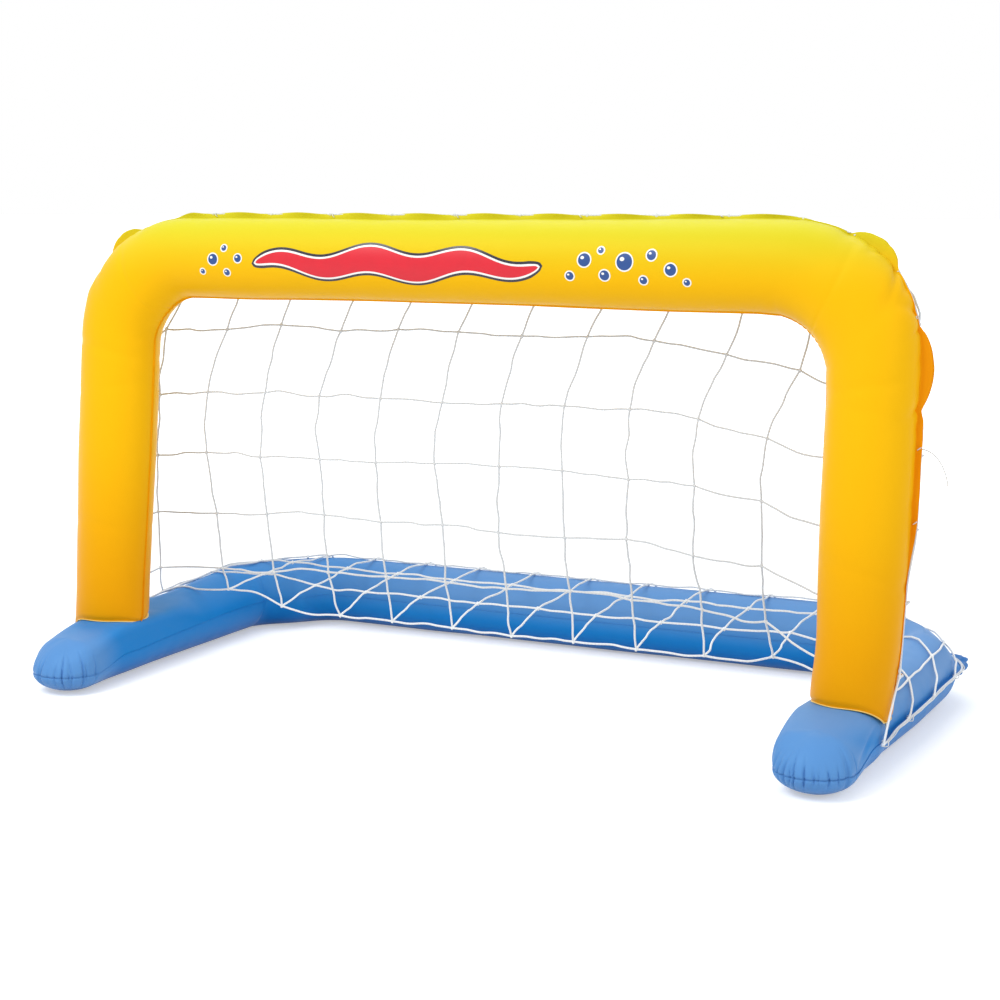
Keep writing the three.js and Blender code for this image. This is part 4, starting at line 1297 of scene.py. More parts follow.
    def build(self, finishes: Finishes) -> None:
        """Makes the top and bottom films."""
        lay = self.layout
        for facing, name, node in (
            (1, "base_top_film", "base_top_panel"), (-1, "base_bottom_film", "base_bottom_panel")
        ):
            rows = []
            for place in self.outline:
                across, lift, seam = self.section(place, facing)
                x = place.x + place.dx * across
                y = lay.foot_y + place.reach + place.dy * across
                if place.zone == "corner":
                    cut = lay.corner_cut(place.turn)
                    x = x - math.copysign(math.sin(place.turn), place.x) * cut
                    y = y - math.cos(place.turn) * cut
                rows.append(np.stack([x, y, seam + facing * lift], axis=-1))
            grid = lay.turned_in(np.array(rows))
            count, columns = grid.shape[:2]
            faces = grid_faces(count, columns, looped=True, flip=facing > 0)
            margin = np.zeros(grid.shape[:2])
            shown = np.array(
                [0.3 if p.zone == "toe" else 0.9 if self.outer(p) else 0.0 for p in self.outline]
            )
            margin[:, :3] = shown[:, None]
            margin[:, 3] = 0.5 * shown
            # The pale value is painted light, which turns the film towards its Light colour.
            pale = self.painted_light_share(grid)
            points, faces, first = merged(grid.reshape(-1, 3), faces)
            piece = plain_mesh(name, points, faces)
            set_attribute(piece, "weld", margin.reshape(-1)[first])
            set_attribute(piece, "pale", pale.reshape(-1)[first])
            solidify(piece, self.film)
            dressed(piece, finishes[Finish.BLUE], GOAL, [node])


# ---------------------------------------------------------------- cords


def cord_tree() -> bpy.types.NodeTree:
    """Geometry Nodes that turn edges into cords with knots at the marked points."""
    group = bpy.data.node_groups.new("cord_network", "GeometryNodeTree")
    face = group.interface
    face.new_socket("Geometry", in_out="INPUT", socket_type="NodeSocketGeometry")
    for label, value in (
        ("Cord Radius", 0.0011), ("Knot Size", 2.0), ("Wander", 0.004), ("Wander Scale", 9.0),
    ):
        socket = face.new_socket(label, in_out="INPUT", socket_type="NodeSocketFloat")
        socket.default_value = value
    for label, value in (("Profile Sides", 6), ("Seed", 7)):
        socket = face.new_socket(label, in_out="INPUT", socket_type="NodeSocketInt")
        socket.default_value = value
    face.new_socket("Material", in_out="INPUT", socket_type="NodeSocketMaterial")
    face.new_socket("Geometry", in_out="OUTPUT", socket_type="NodeSocketGeometry")
    t = Tree(group)
    given, result = t.add("NodeGroupInput").outputs, t.add("NodeGroupOutput").inputs
    slack = t.add(
        "GeometryNodeInputNamedAttribute", {"Name": "slack"}, data_type="FLOAT"
    ).outputs["Attribute"]
    knot = t.add("GeometryNodeInputNamedAttribute", {"Name": "knot"}, data_type="FLOAT").outputs["Attribute"]
    place = t.add("GeometryNodeInputPosition").outputs[0]
    noise = t.add(
        "ShaderNodeTexNoise",
        {"Vector": place, "W": given["Seed"], "Scale": given["Wander Scale"], "Detail": 1.5},
        noise_dimensions="4D",
    )
    centred = t.add(
        "ShaderNodeVectorMath", {0: noise.outputs["Color"], 1: (0.5, 0.5, 0.5)}, operation="SUBTRACT"
    ).outputs[0]
    reach = t.math("MULTIPLY", slack, given["Wander"])
    offset = t.scaled(centred, reach)
    moved = t.add("GeometryNodeSetPosition", {"Geometry": given["Geometry"], "Offset": offset})
    line = t.add("GeometryNodeMeshToCurve", {"Mesh": moved.outputs[0]})
    spline = t.add("GeometryNodeCurveSplineType", {"Curve": line.outputs[0]}, spline_type="CATMULL_ROM")
    steps = t.add("GeometryNodeSetSplineResolution", {0: spline.outputs[0], "Resolution": 2})
    along = t.add("GeometryNodeSplineParameter").outputs["Length"]
    marked = t.add(
        "GeometryNodeStoreNamedAttribute", {"Geometry": steps.outputs[0], "Name": "along", "Value": along},
        data_type="FLOAT", domain="POINT",
    )
    circle = t.add(
        "GeometryNodeCurvePrimitiveCircle",
        {"Resolution": given["Profile Sides"], "Radius": given["Cord Radius"]},
    )
    around = t.add("GeometryNodeSplineParameter").outputs["Factor"]
    profile = t.add(
        "GeometryNodeStoreNamedAttribute", {"Geometry": circle.outputs[0], "Name": "around", "Value": around},
        data_type="FLOAT", domain="POINT",
    )
    cords = t.add(
        "GeometryNodeCurveToMesh",
        {"Curve": marked.outputs[0], "Profile Curve": profile.outputs[0], "Fill Caps": True},
    )
    ball = t.add("GeometryNodeMeshIcoSphere", {"Subdivisions": 2, "Radius": given["Cord Radius"]})
    lump = t.add("ShaderNodeTexNoise", {"Scale": 700.0, "Detail": 1.0})
    lump_place = t.add("GeometryNodeInputPosition").outputs[0]
    t.link(lump_place, lump.inputs["Vector"])
    swell = t.math("MULTIPLY_ADD", lump.outputs[0], 0.9, 0.55)
    swollen = t.scaled(lump_place, swell)
    lumpy = t.add("GeometryNodeSetPosition", {"Geometry": ball.outputs[0], "Position": swollen})
    is_knot = t.add(
        "FunctionNodeCompare", {0: knot, 1: 0.5}, operation="GREATER_THAN", data_type="FLOAT"
    ).outputs[0]
    turn = t.add(
        "FunctionNodeRandomValue", {0: (0, 0, 0), 1: (6.28, 6.28, 6.28), "Seed": given["Seed"]},
        data_type="FLOAT_VECTOR",
    )
    size = t.scaled((1.25, 0.95, 0.85), given["Knot Size"])
    knots = t.add(
        "GeometryNodeInstanceOnPoints",
        {
            "Points": moved.outputs[0], "Selection": is_knot, "Instance": lumpy.outputs[0],
            "Rotation": turn.outputs[0], "Scale": size,
        },
    )
    joined = t.add("GeometryNodeJoinGeometry")
    for part in (knots, cords):
        t.link(part.outputs[0], joined.inputs[0])
    real = t.add("GeometryNodeRealizeInstances", {"Geometry": joined.outputs[0]})
    even = t.add("GeometryNodeSetShadeSmooth", {"Geometry": real.outputs[0]})
    dressed_up = t.add(
        "GeometryNodeSetMaterial", {"Geometry": even.outputs[0], "Material": given["Material"]}
    )
    t.link(dressed_up.outputs[0], result[0])
    return group


@dataclass
class CordNetwork:
    """Points and runs of cord that become one mesh."""

    name: str
    points: list[Array] = field(default_factory=list)
    edges: list[tuple[int, int]] = field(default_factory=list)
    slack: list[float] = field(default_factory=list)
    knots: list[float] = field(default_factory=list)

    def point(self, place: Array, slack: float = 0.0, knot: float = 0.0) -> int:
        """Adds a point and returns its index."""
        self.points.append(np.asarray(place, dtype=float))
        self.slack.append(slack)
        self.knots.append(knot)
        return len(self.points) - 1

    def run(self, start: int, end: int, between: Sequence[Array], slack: float = 1.0) -> None:
        """Joins two points through others; the cord may wander in between."""
        previous = start
        count = len(between)
        for k, place in enumerate(between):
            share = math.sin(math.pi * (k + 1) / (count + 1))
            index = self.point(place, slack * share)
            self.edges.append((previous, index))
            previous = index
        self.edges.append((previous, end))

    def build(
        self, tree: bpy.types.NodeTree, material: bpy.types.Material, **sizes: object
    ) -> bpy.types.Object:
        """Makes the cords as a plain mesh.

        Args:
            tree: The cord network's node tree.
            material: Material of the cords.
            sizes: The tree's inputs by name, with _ for spaces.

        Returns:
            The finished object.
        """
        mesh = bpy.data.meshes.new(f"{self.name}_line")
        mesh.from_pydata([p.tolist() for p in self.points], self.edges, [])
        for label, values in (("slack", self.slack), ("knot", self.knots)):
            data = mesh.attributes.new(label, "FLOAT", "POINT")
            data.data.foreach_set("value", values)
        line = placed(f"{self.name}_line", mesh)
        modifier = line.modifiers.new("cords", "NODES")
        modifier.node_group = tree
        sockets = {
            item.name: item.identifier
            for item in tree.interface.items_tree
            if item.item_type == "SOCKET" and item.in_out == "INPUT"
        }
        values = {"Material": material, **{key.replace("_", " "): value for key, value in sizes.items()}}
        for key, value in values.items():
            modifier[sockets[key]] = value
        graph = bpy.context.evaluated_depsgraph_get()
        made = bpy.data.meshes.new_from_object(line.evaluated_get(graph))
        bpy.data.objects.remove(line)
        return placed(self.name, made)


@dataclass
class Net:
    """The knotted net: laced to both outer margins, hanging behind the mouth and over the base."""

    layout: Layout
    cord_radius: float = 0.0017
    cord_lift: float = 0.0012
    low_slack: float = 0.020
    left_lead: float = 0.045
    left_fold_drop: float = 0.016
    knot_pull: tuple[float, float, float] = (0.006, 0.003, 0.005)
    floor_pull: tuple[float, float, float] = (1.2, 1.5, 0.3)
    strand_steps: int = 7
    mesh_width: float = 0.110
    mesh_height: float = 0.102
    columns: int = 14
    side_columns: int = 2
    fold_row: int = 7
    floor_rows: int = 4
    top_shift: float = -0.026
    hang_shift: float = 0.010
    row_sag: float = 0.012
    right_sag: float = 0.030
    side_slack: float = 0.020
    right_sags: tuple[float, ...] = (0.0, 0.014, 0.008, 0.002, 0.0, 0.0, 0.0)
    left_sags: tuple[float, ...] = (0.0, 0.014, 0.016, 0.018, 0.029, 0.035, 0.0)
    left_shifts: tuple[float, ...] = (0.0, 0.010, 0.0, 0.003, 0.021, 0.032, 0.037, 0.030, 0.012, 0.0)
    lower_drift: float = -0.079
    left_drift_share: float = 0.35
    stand_off: float = 0.006
    fold_reach: float = 0.207
    fold_height: float = 0.087
    corner_inset: float = -0.013
    arm_tie_start: float = -0.036
    arm_tie_pitch: float = 0.128
    arm_tie_lead: float = 0.070
    edge_out: float = 0.007
    edge_lift: float = 0.0023

    @property
    def middle(self) -> int:
        """The middle column."""
        return self.columns // 2

    @property
    def hanging_half(self) -> int:
        """Columns between the middle and the hanging part's end."""
        return self.middle - self.side_columns

    @property
    def rear_row(self) -> int:
        """The row over the rear bar."""
        return self.fold_row + self.floor_rows - 1

    @property
    def last_row(self) -> int:
        """The row laced to the rear bar."""
        return self.fold_row + self.floor_rows

    @property
    def side_start(self) -> float:
        """Seam length where the side rows start."""
        return self.layout.arc_x + self.layout.corner_arc - self.corner_inset

    def top_end(self, side: int) -> float:
        """Seam length of the hanging part's top corner."""
        return abs(side * self.hanging_half * self.mesh_width + self.top_shift)

    def rear_place(self, from_middle: float) -> float:
        """Seam length of a column's tie on the rear bar."""
        share = mix(self.left_drift_share, 1.0, float(np.clip(from_middle + self.hanging_half, 0, 1)))
        return from_middle * self.mesh_width + self.top_shift + self.lower_drift * share

    def top_length(self, side: int, beside: float) -> float:
        """Seam length of a side column's tie on the arch's corner."""
        end = self.top_end(side)
        return end + beside * (self.side_start - end) / (2 * self.side_columns)

    def side_length(self, side: int, row: float) -> float:
        """Seam length of a row's tie on a leg."""
        if row >= self.side_columns:
            return self.side_start + (row - self.side_columns) * self.mesh_height
        return self.top_length(side, self.side_columns + row)

    def arm_edge(self, row: float) -> float:
        """Seam length of a row's tie on an arm."""
        return self.layout.arm_length(self.arm_tie_start + (row - self.fold_row) * self.arm_tie_pitch)

    def rear_length(self, side: int, beside: float) -> float:
        """Seam length of a side column's tie on the base's corner."""
        end = abs(self.rear_place(side * self.hanging_half))
        return end + beside * (self.arm_edge(self.rear_row) - end) / (self.side_columns + 1)

    def beside_tube(
        self, angle: float, half_width: float, half_depth: float, power: float = 2.0
    ) -> tuple[float, float]:
        """A place of the net beside a tube, from the seam at angle 0 over its bulge."""
        if angle == 0:
            return self.edge_out, self.edge_lift
        across = (half_width + self.stand_off * 0.6) * abs(math.cos(angle)) ** (2 / power)
        lift = (half_depth + self.stand_off * 0.6) * math.sin(angle) ** (2 / power)
        return (-across if angle > QUARTER else across) - half_width, lift

    def wrap(self, beside: float, low: bool = False) -> float:
        """How far round its tube a column reaches; lower down on the base than on the legs."""
        degrees = np.interp(beside, (0.0, 1.0, self.side_columns), (92.0, 47.0 if low else 75.0, 0.0))
        return math.radians(float(degrees))

    def point(self, column: float, row: float) -> Array:
        """The net's place by column and row."""
        lay = self.layout
        from_middle = column - self.middle
        side = 1 if from_middle >= 0 else -1
        beside = abs(from_middle) - self.hanging_half
        if row <= 1:
            return self.over_bar(from_middle, side, beside, row)
        if row >= self.rear_row:
            return self.over_rear(from_middle, side, beside, self.last_row - row)
        if beside <= 0:
            return self.behind_mouth(from_middle, row)
        if row < self.fold_row:
            length = self.side_length(side, row)
            rise = lay.arc_rise - max(0.0, length - lay.arc_x - lay.corner_arc)
            outward = 1.0 - 0.47 * ramp(row, 1, 3) * (side < 0)
            out, back = self.beside_tube(
                self.wrap(beside) * outward, lay.half_width_at(rise), lay.half_depth_at(rise)
            )
            return lay.arch_seam(side * length, out, back)
        lead = self.arm_tie_lead * (self.side_columns - beside)
        reach = self.arm_tie_start + (row - self.fold_row) * self.arm_tie_pitch + lead
        length = lay.arm_length(reach)
        out, up = self.beside_tube(
            self.wrap(beside, True), lay.base_half_width, lay.base_half_height(reach),
            lay.corner_power(length),
        )
        return lay.base_seam(side * length, out, up)

    def over_bar(self, from_middle: float, side: int, beside: float, down: float) -> Array:
        """The net over the crossbar's back."""
        lay = self.layout
        out, back = self.beside_tube(down * self.wrap(beside), lay.half_width, lay.half_depth)
        if beside <= 0:
            shift = mix(self.top_shift, self.hang_shift, down)
            return lay.arch_seam(from_middle * self.mesh_width + shift, out, back)
        lower = mix(self.top_end(side), self.side_length(side, 1), beside / self.side_columns)
        return lay.arch_seam(side * mix(self.top_length(side, beside), lower, down), out, back)

    def over_rear(self, from_middle: float, side: int, beside: float, down: float) -> Array:
        """The net over the rear bar."""
        lay = self.layout
        angle = down * min(self.wrap(beside, True), QUARTER)
        length = self.rear_place(from_middle)
        if beside > 0:
            edge, inner = self.arm_edge(self.rear_row), abs(self.rear_place(side * self.hanging_half))
            upper = float(
                np.interp(beside, (0.0, 1.0, self.side_columns), (inner, edge - self.arm_tie_lead, edge))
            )
            length = side * mix(self.rear_length(side, beside), upper, down)
        out, up = self.beside_tube(angle, lay.base_half_width, lay.rear_half_height, lay.corner_power(length))
        return lay.base_seam(length, out, up)

    def behind_mouth(self, from_middle: float, row: float) -> Array:
        """The hanging and floor parts between the posts."""
        lay = self.layout
        drift = math.sin(QUARTER * min(1.0, (row - 1) / 3.0))
        x = mix(from_middle * self.mesh_width + self.hang_shift, self.rear_place(from_middle), drift)
        left_end = float(np.clip(-from_middle - self.hanging_half + 1, 0, 1))
        x -= left_end * float(np.interp(row, np.arange(1, 11), self.left_shifts))
        x -= left_end * self.left_lead * drift * (1.0 - float(smooth((row - self.fold_row) / 2)))

        def over(reach: float) -> float:
            """Height just over the base at a reach."""
            return 2 * lay.base_half_height(reach) + self.stand_off

        near = float(smooth((abs(x) - lay.arc_x * 0.8) / self.mesh_width))
        fold = mix(self.fold_height, over(self.fold_reach), near) - self.left_fold_drop * left_end
        if row <= self.fold_row:
            out, back = self.beside_tube(self.wrap(0), lay.half_width, lay.half_depth)
            start = lay.arch_seam(0, out, back)
            share = (row - 1) / (self.fold_row - 1)
            right = self.right_sag * ramp(x, 0.22, 0.30) * math.sin(math.pi * share) ** 0.5
            left = float(np.interp(share, np.linspace(0, 1, 7), self.left_sags)) * ramp(-x, 0.38, 0.12)
            right_end = float(np.clip(from_middle - self.hanging_half + 1, 0, 1))
            right += float(np.interp(share, np.linspace(0, 1, 7), self.right_sags)) * right_end
            low_sag = self.low_slack * share**3 * (1.0 - share) * 6.0
            sag = math.sin(math.pi * share) * self.row_sag + low_sag + right + left
            y = mix(start[1], lay.foot_y + self.fold_reach, share**1.5)
            return np.array([x, y, mix(start[2], fold, share) - sag])
        share = (row - self.fold_row) / (self.rear_row - self.fold_row)
        y = lay.foot_y + mix(self.fold_reach, lay.rear_reach, share)
        return np.array([x, y, mix(fold, over(lay.rear_reach), 1 - (1 - share) ** 2)])

    def rested(self, place: Array) -> Array:
        """A place lifted onto the base's top where it would lie inside the base."""
        lay = self.layout
        x, reach, power = abs(place[0]), place[1] - lay.foot_y, 2.0
        if reach <= lay.base_arc_y:
            across = x - lay.leg_x
        elif x <= lay.base_arc_x:
            across = reach - lay.rear_reach
        else:
            turn = math.atan2(x - lay.base_arc_x, reach - lay.base_arc_y)
            radius = math.hypot(x - lay.base_arc_x, reach - lay.base_arc_y)
            across = radius - lay.base_corner_radius + lay.corner_cut(turn)
            power = lay.corner_power(lay.base_arc_x + turn * lay.base_seam_radius) if across > 0 else 2.0
        share = across / (lay.base_half_width + self.cord_radius)
        if abs(share) >= 1.0 or reach < -0.12:
            return place
        half = lay.base_half_height(reach)
        top = half * (1.0 + (1.0 - abs(share) ** power) ** (1.0 / power)) + self.cord_radius + self.cord_lift
        return np.array([place[0], place[1], max(place[2], top)]) if place[2] > half else place

    def knot_place(self, column: int, row: int) -> Array:
        """A knot's place, pulled a little out of line as in a real net."""
        place = self.point(column, row)
        rng = np.random.default_rng(1000 + column * 37 + row)
        hanging = self.side_columns <= column <= self.columns - self.side_columns
        if hanging and 1 < row < self.rear_row:
            pull = rng.uniform(-1, 1, 3) * np.array(self.knot_pull)
            if row >= self.fold_row:
                pull *= np.array(self.floor_pull)
            place = self.rested(place + pull)
        return place

    def build(self, tree: bpy.types.NodeTree, finishes: Finishes) -> None:
        """Makes the six parts of the net."""
        inner_left, inner_right = self.side_columns, self.columns - self.side_columns
        parts = {
            "hanging": (range(inner_left, inner_right + 1), range(0, self.fold_row + 1)),
            "floor": (range(inner_left, inner_right + 1), range(self.fold_row, self.last_row + 1)),
            "left_leg_side": (range(0, inner_left + 1), range(0, self.fold_row + 1)),
            "right_leg_side": (range(inner_right, self.columns + 1), range(0, self.fold_row + 1)),
            "left_arm_side": (range(0, inner_left + 1), range(self.fold_row, self.last_row + 1)),
            "right_arm_side": (range(inner_right, self.columns + 1), range(self.fold_row, self.last_row + 1)),
        }
        used: set[tuple[Spot, Spot]] = set()
        tied: set[Spot] = set()
        for name, (columns, rows) in parts.items():
            net = CordNetwork(f"net_{name}_cords")
            index: dict[Spot, int] = {}

            def knot(spot: Spot) -> int:
                """The index of a knot, made when first asked for."""
                if spot not in index:
                    index[spot] = net.point(self.knot_place(*spot), 0.0, 0.0 if spot in tied else 1.0)
                    tied.add(spot)
                return index[spot]

            for column in columns:
                for row in rows:
                    for step in ((1, 0), (0, 1)):
                        spot, other = (column, row), (column + step[0], row + step[1])
                        if other[0] not in columns or other[1] not in rows or (spot, other) in used:
                            continue
                        used.add((spot, other))
                        self.strand(net, knot(spot), knot(other), spot, other)
            piece = net.build(
                tree, finishes[Finish.NET], Cord_Radius=self.cord_radius, Knot_Size=1.75, Wander=0.020,
                Wander_Scale=15.0, Profile_Sides=7, Seed=7,
            )
            dressed(piece, finishes[Finish.NET], GOAL, [f"net_{name}"])

    def strand(self, net: CordNetwork, start: int, end: int, spot: Spot, other: Spot) -> None:
        """Adds the cord between two knots, following the tubes that it lies on."""
        first, last = net.points[start], net.points[end]
        between = []
        beside = [abs(place[0] - self.middle) - self.hanging_half for place in (spot, other)]
        leaves = min(beside) == 0 and max(beside) == 1 and 1 < spot[1] < self.rear_row
        rests = min(beside) <= 0 and max(spot[1], other[1]) <= self.rear_row
        ends = [
            self.point(mix(spot[0], other[0], near), mix(spot[1], other[1], near)) for near in (0.001, 0.999)
        ]
        for k in range(1, self.strand_steps + 1):
            share = k / (self.strand_steps + 1)
            line = self.point(mix(spot[0], other[0], share), mix(spot[1], other[1], share))
            straight = mix(ends[0], ends[1], share)
            spot_now = mix(first, last, share) + (line - straight)
            if leaves:
                free = share if beside[0] == 0 else 1.0 - share
                low = spot[1] >= self.fold_row and first[0] > 0
                forward = (free * free - free) * (last[1] - first[1]) * (1 if beside[0] == 0 else -1) * low
                droop = self.side_slack * (1.0 if first[0] > 0 and spot[1] < self.fold_row else 0.25)
                down = -droop * math.sin(math.pi * share)
                spot_now = mix(first, last, share) + np.array([0.0, forward, down])
            between.append(self.rested(spot_now) if rests else spot_now)
        along_row = spot[1] == other[1] and spot[1] in (0, self.last_row)
        on_edge = along_row or spot[0] == other[0] and spot[0] in (0, self.columns)
        over_tube = min(spot[1], other[1]) < 1 or max(spot[1], other[1]) > self.rear_row
        net.run(start, end, between, 0.0 if on_edge else 0.25 if over_tube else 1.0)


@dataclass
class Lacing:
    """The thin cord that laces the net's edge to the margins, and its loose end."""

    layout: Layout
    net: Net
    radius: float = 0.0008
    reach: float = 0.0101
    hole_out: float = 0.003
    hole_offset: float = 0.008
    front: float = 0.0025
    cross: float = 0.00475
    first_hole_reach: float = -0.035
    tail: tuple[tuple[float, float, float], ...] = (
        (0.705, -0.15702, 0.4491), (0.705, -0.15402, 0.4491), (0.706, -0.15102, 0.4491),
        (0.7085, -0.14862, 0.4488), (0.7125, -0.14722, 0.4479), (0.717, -0.14682, 0.4461),
        (0.7215, -0.14702, 0.4435), (0.7258, -0.14742, 0.4401), (0.7298, -0.14792, 0.4361),
        (0.7333, -0.14842, 0.4316), (0.7364, -0.14892, 0.4267), (0.739, -0.14942, 0.4215),
        (0.7412, -0.14992, 0.4161), (0.743, -0.15032, 0.4105), (0.7444, -0.15072, 0.4048),
        (0.7455, -0.15102, 0.3991),
    )

    def holes(self) -> tuple[list[float], list[float], list[float]]:
        """Seam lengths of the holes of the arch's, the right leg's and the base's lacing."""
        net = self.net
        rows = range(net.fold_row)
        tops = [k for k in range(1, net.side_columns)]
        arch = [-net.side_length(-1, r) for r in reversed(rows)]
        arch += [-net.top_length(-1, k) for k in reversed(tops)]
        arch += [k * net.mesh_width + net.top_shift for k in range(-net.hanging_half, net.hanging_half + 1)]
        arch += [net.top_length(1, k) for k in tops] + [net.side_length(1, r) for r in rows]
        arms = [net.arm_edge(r) for r in range(net.fold_row, net.rear_row + 1)]
        rears = range(1, net.side_columns + 1)
        start = self.layout.arm_length(self.first_hole_reach)
        base = [-start, *[-a for a in arms], *[-net.rear_length(-1, k) for k in reversed(rears)]]
        base += [net.rear_place(k) for k in range(-net.hanging_half, net.hanging_half + 1)]
        base += [*[net.rear_length(1, k) for k in rears], *reversed(arms), start]
        last = len(arch) - 4

        def hole(length: float) -> float:
            """A tie's hole, a little towards the middle."""
            return length - math.copysign(self.hole_offset, length)

        upper = [arch[0], *[a for a in arch[1::2] if a <= arch[last]]]
        lower = arch[last + 1 :: 2]
        return [hole(a) for a in upper], [hole(a) for a in lower], [hole(b) for b in base[::2]]

    def route(self, seam: Callable[[float, float, float], Array], holes: Sequence[float]) -> list[Array]:
        """The lacing's path through its holes."""
        places: list[tuple[float, float, float]] = []
        for k, length in enumerate(holes):
            places += [(length - 0.005, self.reach, self.front), (length - 0.003, self.reach, -self.front)]
            places += [(length, self.hole_out, -self.front), (length, self.hole_out, self.cross)]
            if k + 1 < len(holes):
                places += [(length + 0.005, self.reach, self.cross), (length + 0.009, self.reach, self.front)]
                run = holes[k + 1] - length
                count = max(2, math.ceil(run / 0.02))
                for step in range(1, count):
                    droop = 0.0006 * math.sin(step * 2.1 + k)
                    if 0.012 < run * step / count < run - 0.012:
                        places.append((length + run * step / count, self.reach + droop, self.front))
        return [seam(*place) for place in places]

    def made(
        self, line: CordNetwork, node: str, knot: float, sides: int, tree: bpy.types.NodeTree,
        finishes: Finishes,
    ) -> bpy.types.Object:
        """Makes one length of the lacing.

        Args:
            line: Its points.
            node: CAD node that it stands for.
            knot: Size of its knots, in cord radii.
            sides: Sides of its section.
            tree: The cord network's node tree.
            finishes: The goal's materials.

        Returns:
            The finished piece.
        """
        twine = finishes[Finish.LACING]
        piece = line.build(
            tree, twine, Cord_Radius=self.radius, Knot_Size=knot, Wander=0.0, Profile_Sides=sides, Seed=3
        )
        return dressed(piece, twine, GOAL, [node])

    def build(self, tree: bpy.types.NodeTree, finishes: Finishes) -> None:
        """Makes the three lacings."""
        lay = self.layout
        arch, leg, base = self.holes()
        for name, seam, holes in (
            ("arch_lacing", lay.arch_seam, arch),
            ("right_leg_lacing", lay.arch_seam, leg),
            ("base_lacing", lay.base_seam, base),
        ):
            line = CordNetwork(f"{name}_cord")
            route = self.route(seam, holes)
            start, end = line.point(route[0], 0.0, 1.0), line.point(route[-1], 0.0, 1.0)
            line.run(start, end, route[1:-1], 0.0)
            self.made(line, name, 1.8, 7, tree, finishes)

    def build_tail(self, tree: bpy.types.NodeTree, finishes: Finishes) -> None:
        """Makes the lacing's loose end, which hangs from the last hole."""
        line = CordNetwork("lacing_loose_end")
        points = [np.array(p) for p in self.tail]
        line.run(line.point(points[0]), line.point(points[-1]), points[1:-1], 0.0)
        piece = self.made(line, "lacing_tail", 1.0, 12, tree, finishes)


# ---------------------------------------------------------------- print


@dataclass
class BarPrint:
    """A plain wave ribbon with round bubbles on the crossbar's front, in thin layers of ink."""

    arch: Arch
    middle: float = -0.10
    ribbon_half: float = 0.245
    ribbon_angle: float = 1.72
    waves: float = 3.0
    step: float = 0.004
    layer: float = 0.00009
    dark_rim: float = 0.0068
    white_rim: float = 0.0030
    bubbles: tuple[tuple[float, float, float], ...] = (
        (-0.425, -0.004, 0.0085), (-0.400, 0.017, 0.0052), (-0.446, 0.016, 0.0040),
        (-0.405, -0.022, 0.0046), (-0.378, -0.006, 0.0062), (0.195, 0.012, 0.0062),
        (0.218, -0.012, 0.0095), (0.250, 0.010, 0.0075), (0.243, -0.026, 0.0045),
        (0.281, -0.010, 0.0120), (0.310, 0.016, 0.0058), (0.322, -0.020, 0.0070),
        (0.352, 0.000, 0.0085), (0.376, 0.018, 0.0048),
    )

    def outline(self, grow: float) -> list[tuple[float, float]]:
        """The ribbon's outline in metres along and round the bar, grown by an amount."""
        count = 150
        upper, lower = [], []
        for k in range(count + 1):
            share = -1 + 2 * k / count
            x = share * (self.ribbon_half + grow)
            swell = math.sqrt(max(0.0, 1 - abs(share) ** 5))
            half = (0.0155 + 0.0045 * math.cos(math.pi * share)) * swell + grow * min(1.0, swell * 1.6 + 0.05)
            line = 0.0080 * math.sin(self.waves * math.pi * x / self.ribbon_half)
            upper.append((self.middle + x, line - half))
            lower.append((self.middle + x, line + half))
        return upper + lower[::-1]

    def disc(self, x: float, y: float, radius: float, squash: float = 1.0) -> list[tuple[float, float]]:
        """A round outline."""
        count = 40
        turn = [2 * math.pi * k / count for k in range(count)]
        return [(x + radius * math.cos(a), y + squash * radius * math.sin(a)) for a in turn]

    def filled(self, outline: Sequence[tuple[float, float]]) -> Shape:
        """Triangles of an outline, small enough to follow the bar's curve."""
        edge = [Vector(p) for p in outline]
        xs, ys = [p[0] for p in outline], [p[1] for p in outline]
        inner = [
            Vector((x, y))
            for x in np.arange(min(xs) + self.step / 2, max(xs), self.step)
            for y in np.arange(min(ys) + self.step / 2, max(ys), self.step)
        ]
        edges = [(k, (k + 1) % len(edge)) for k in range(len(edge))]
        points, _, faces, *_ = delaunay_2d_cdt(edge + inner, edges, [list(range(len(edge)))], 1, 1e-6)
        return np.array([[p.x, p.y] for p in points]), [list(f) for f in faces]

    def build(self, finishes: Finishes) -> None:
        """Makes the print as one thin piece with four inks."""
        inks = [Finish.PRINT_DARK, Finish.PRINT_WHITE, Finish.PRINT_RED, Finish.PRINT_BLUE]
        shapes: list[tuple[int, int, list[tuple[float, float]]]] = [
            (0, 0, self.outline(self.dark_rim)), (1, 1, self.outline(self.white_rim)),
            (2, 2, self.outline(0.0)),
        ]
        for x, y, radius in self.bubbles:
            shapes.append((1, 0, self.disc(x, y, radius + 0.0020)))
            shapes.append((3, 1, self.disc(x, y, radius)))
            shapes.append((1, 2, self.disc(x - radius * 0.32, y - radius * 0.34, radius * 0.30, 0.8)))
        points, faces, indices = [], [], []
        arc = self.arch.layout.half_width
        for ink, level, outline in shapes:
            flat, found = self.filled(outline)
            angle = self.ribbon_angle + flat[:, 1] / arc
            place = self.arch.surface(flat[:, 0], angle, self.layer * (1.5 + level))
            start = sum(len(p) for p in points)
            points.append(place)
            for face in found:
                corners = [start + k for k in face]
                a, b, c = (place[k - start] for k in corners[:3])
                faces.append(corners if np.cross(b - a, c - a)[1] < 0 else corners[::-1])
                indices.append(ink)
        piece = plain_mesh("bar_print", np.concatenate(points), faces)
        for ink in inks:
            piece.data.materials.append(finishes[ink])
        piece.data.polygons.foreach_set("material_index", indices[: len(piece.data.polygons)])
        dressed(piece, finishes[Finish.PRINT_RED], GOAL, [])


# ---------------------------------------------------------------- valves


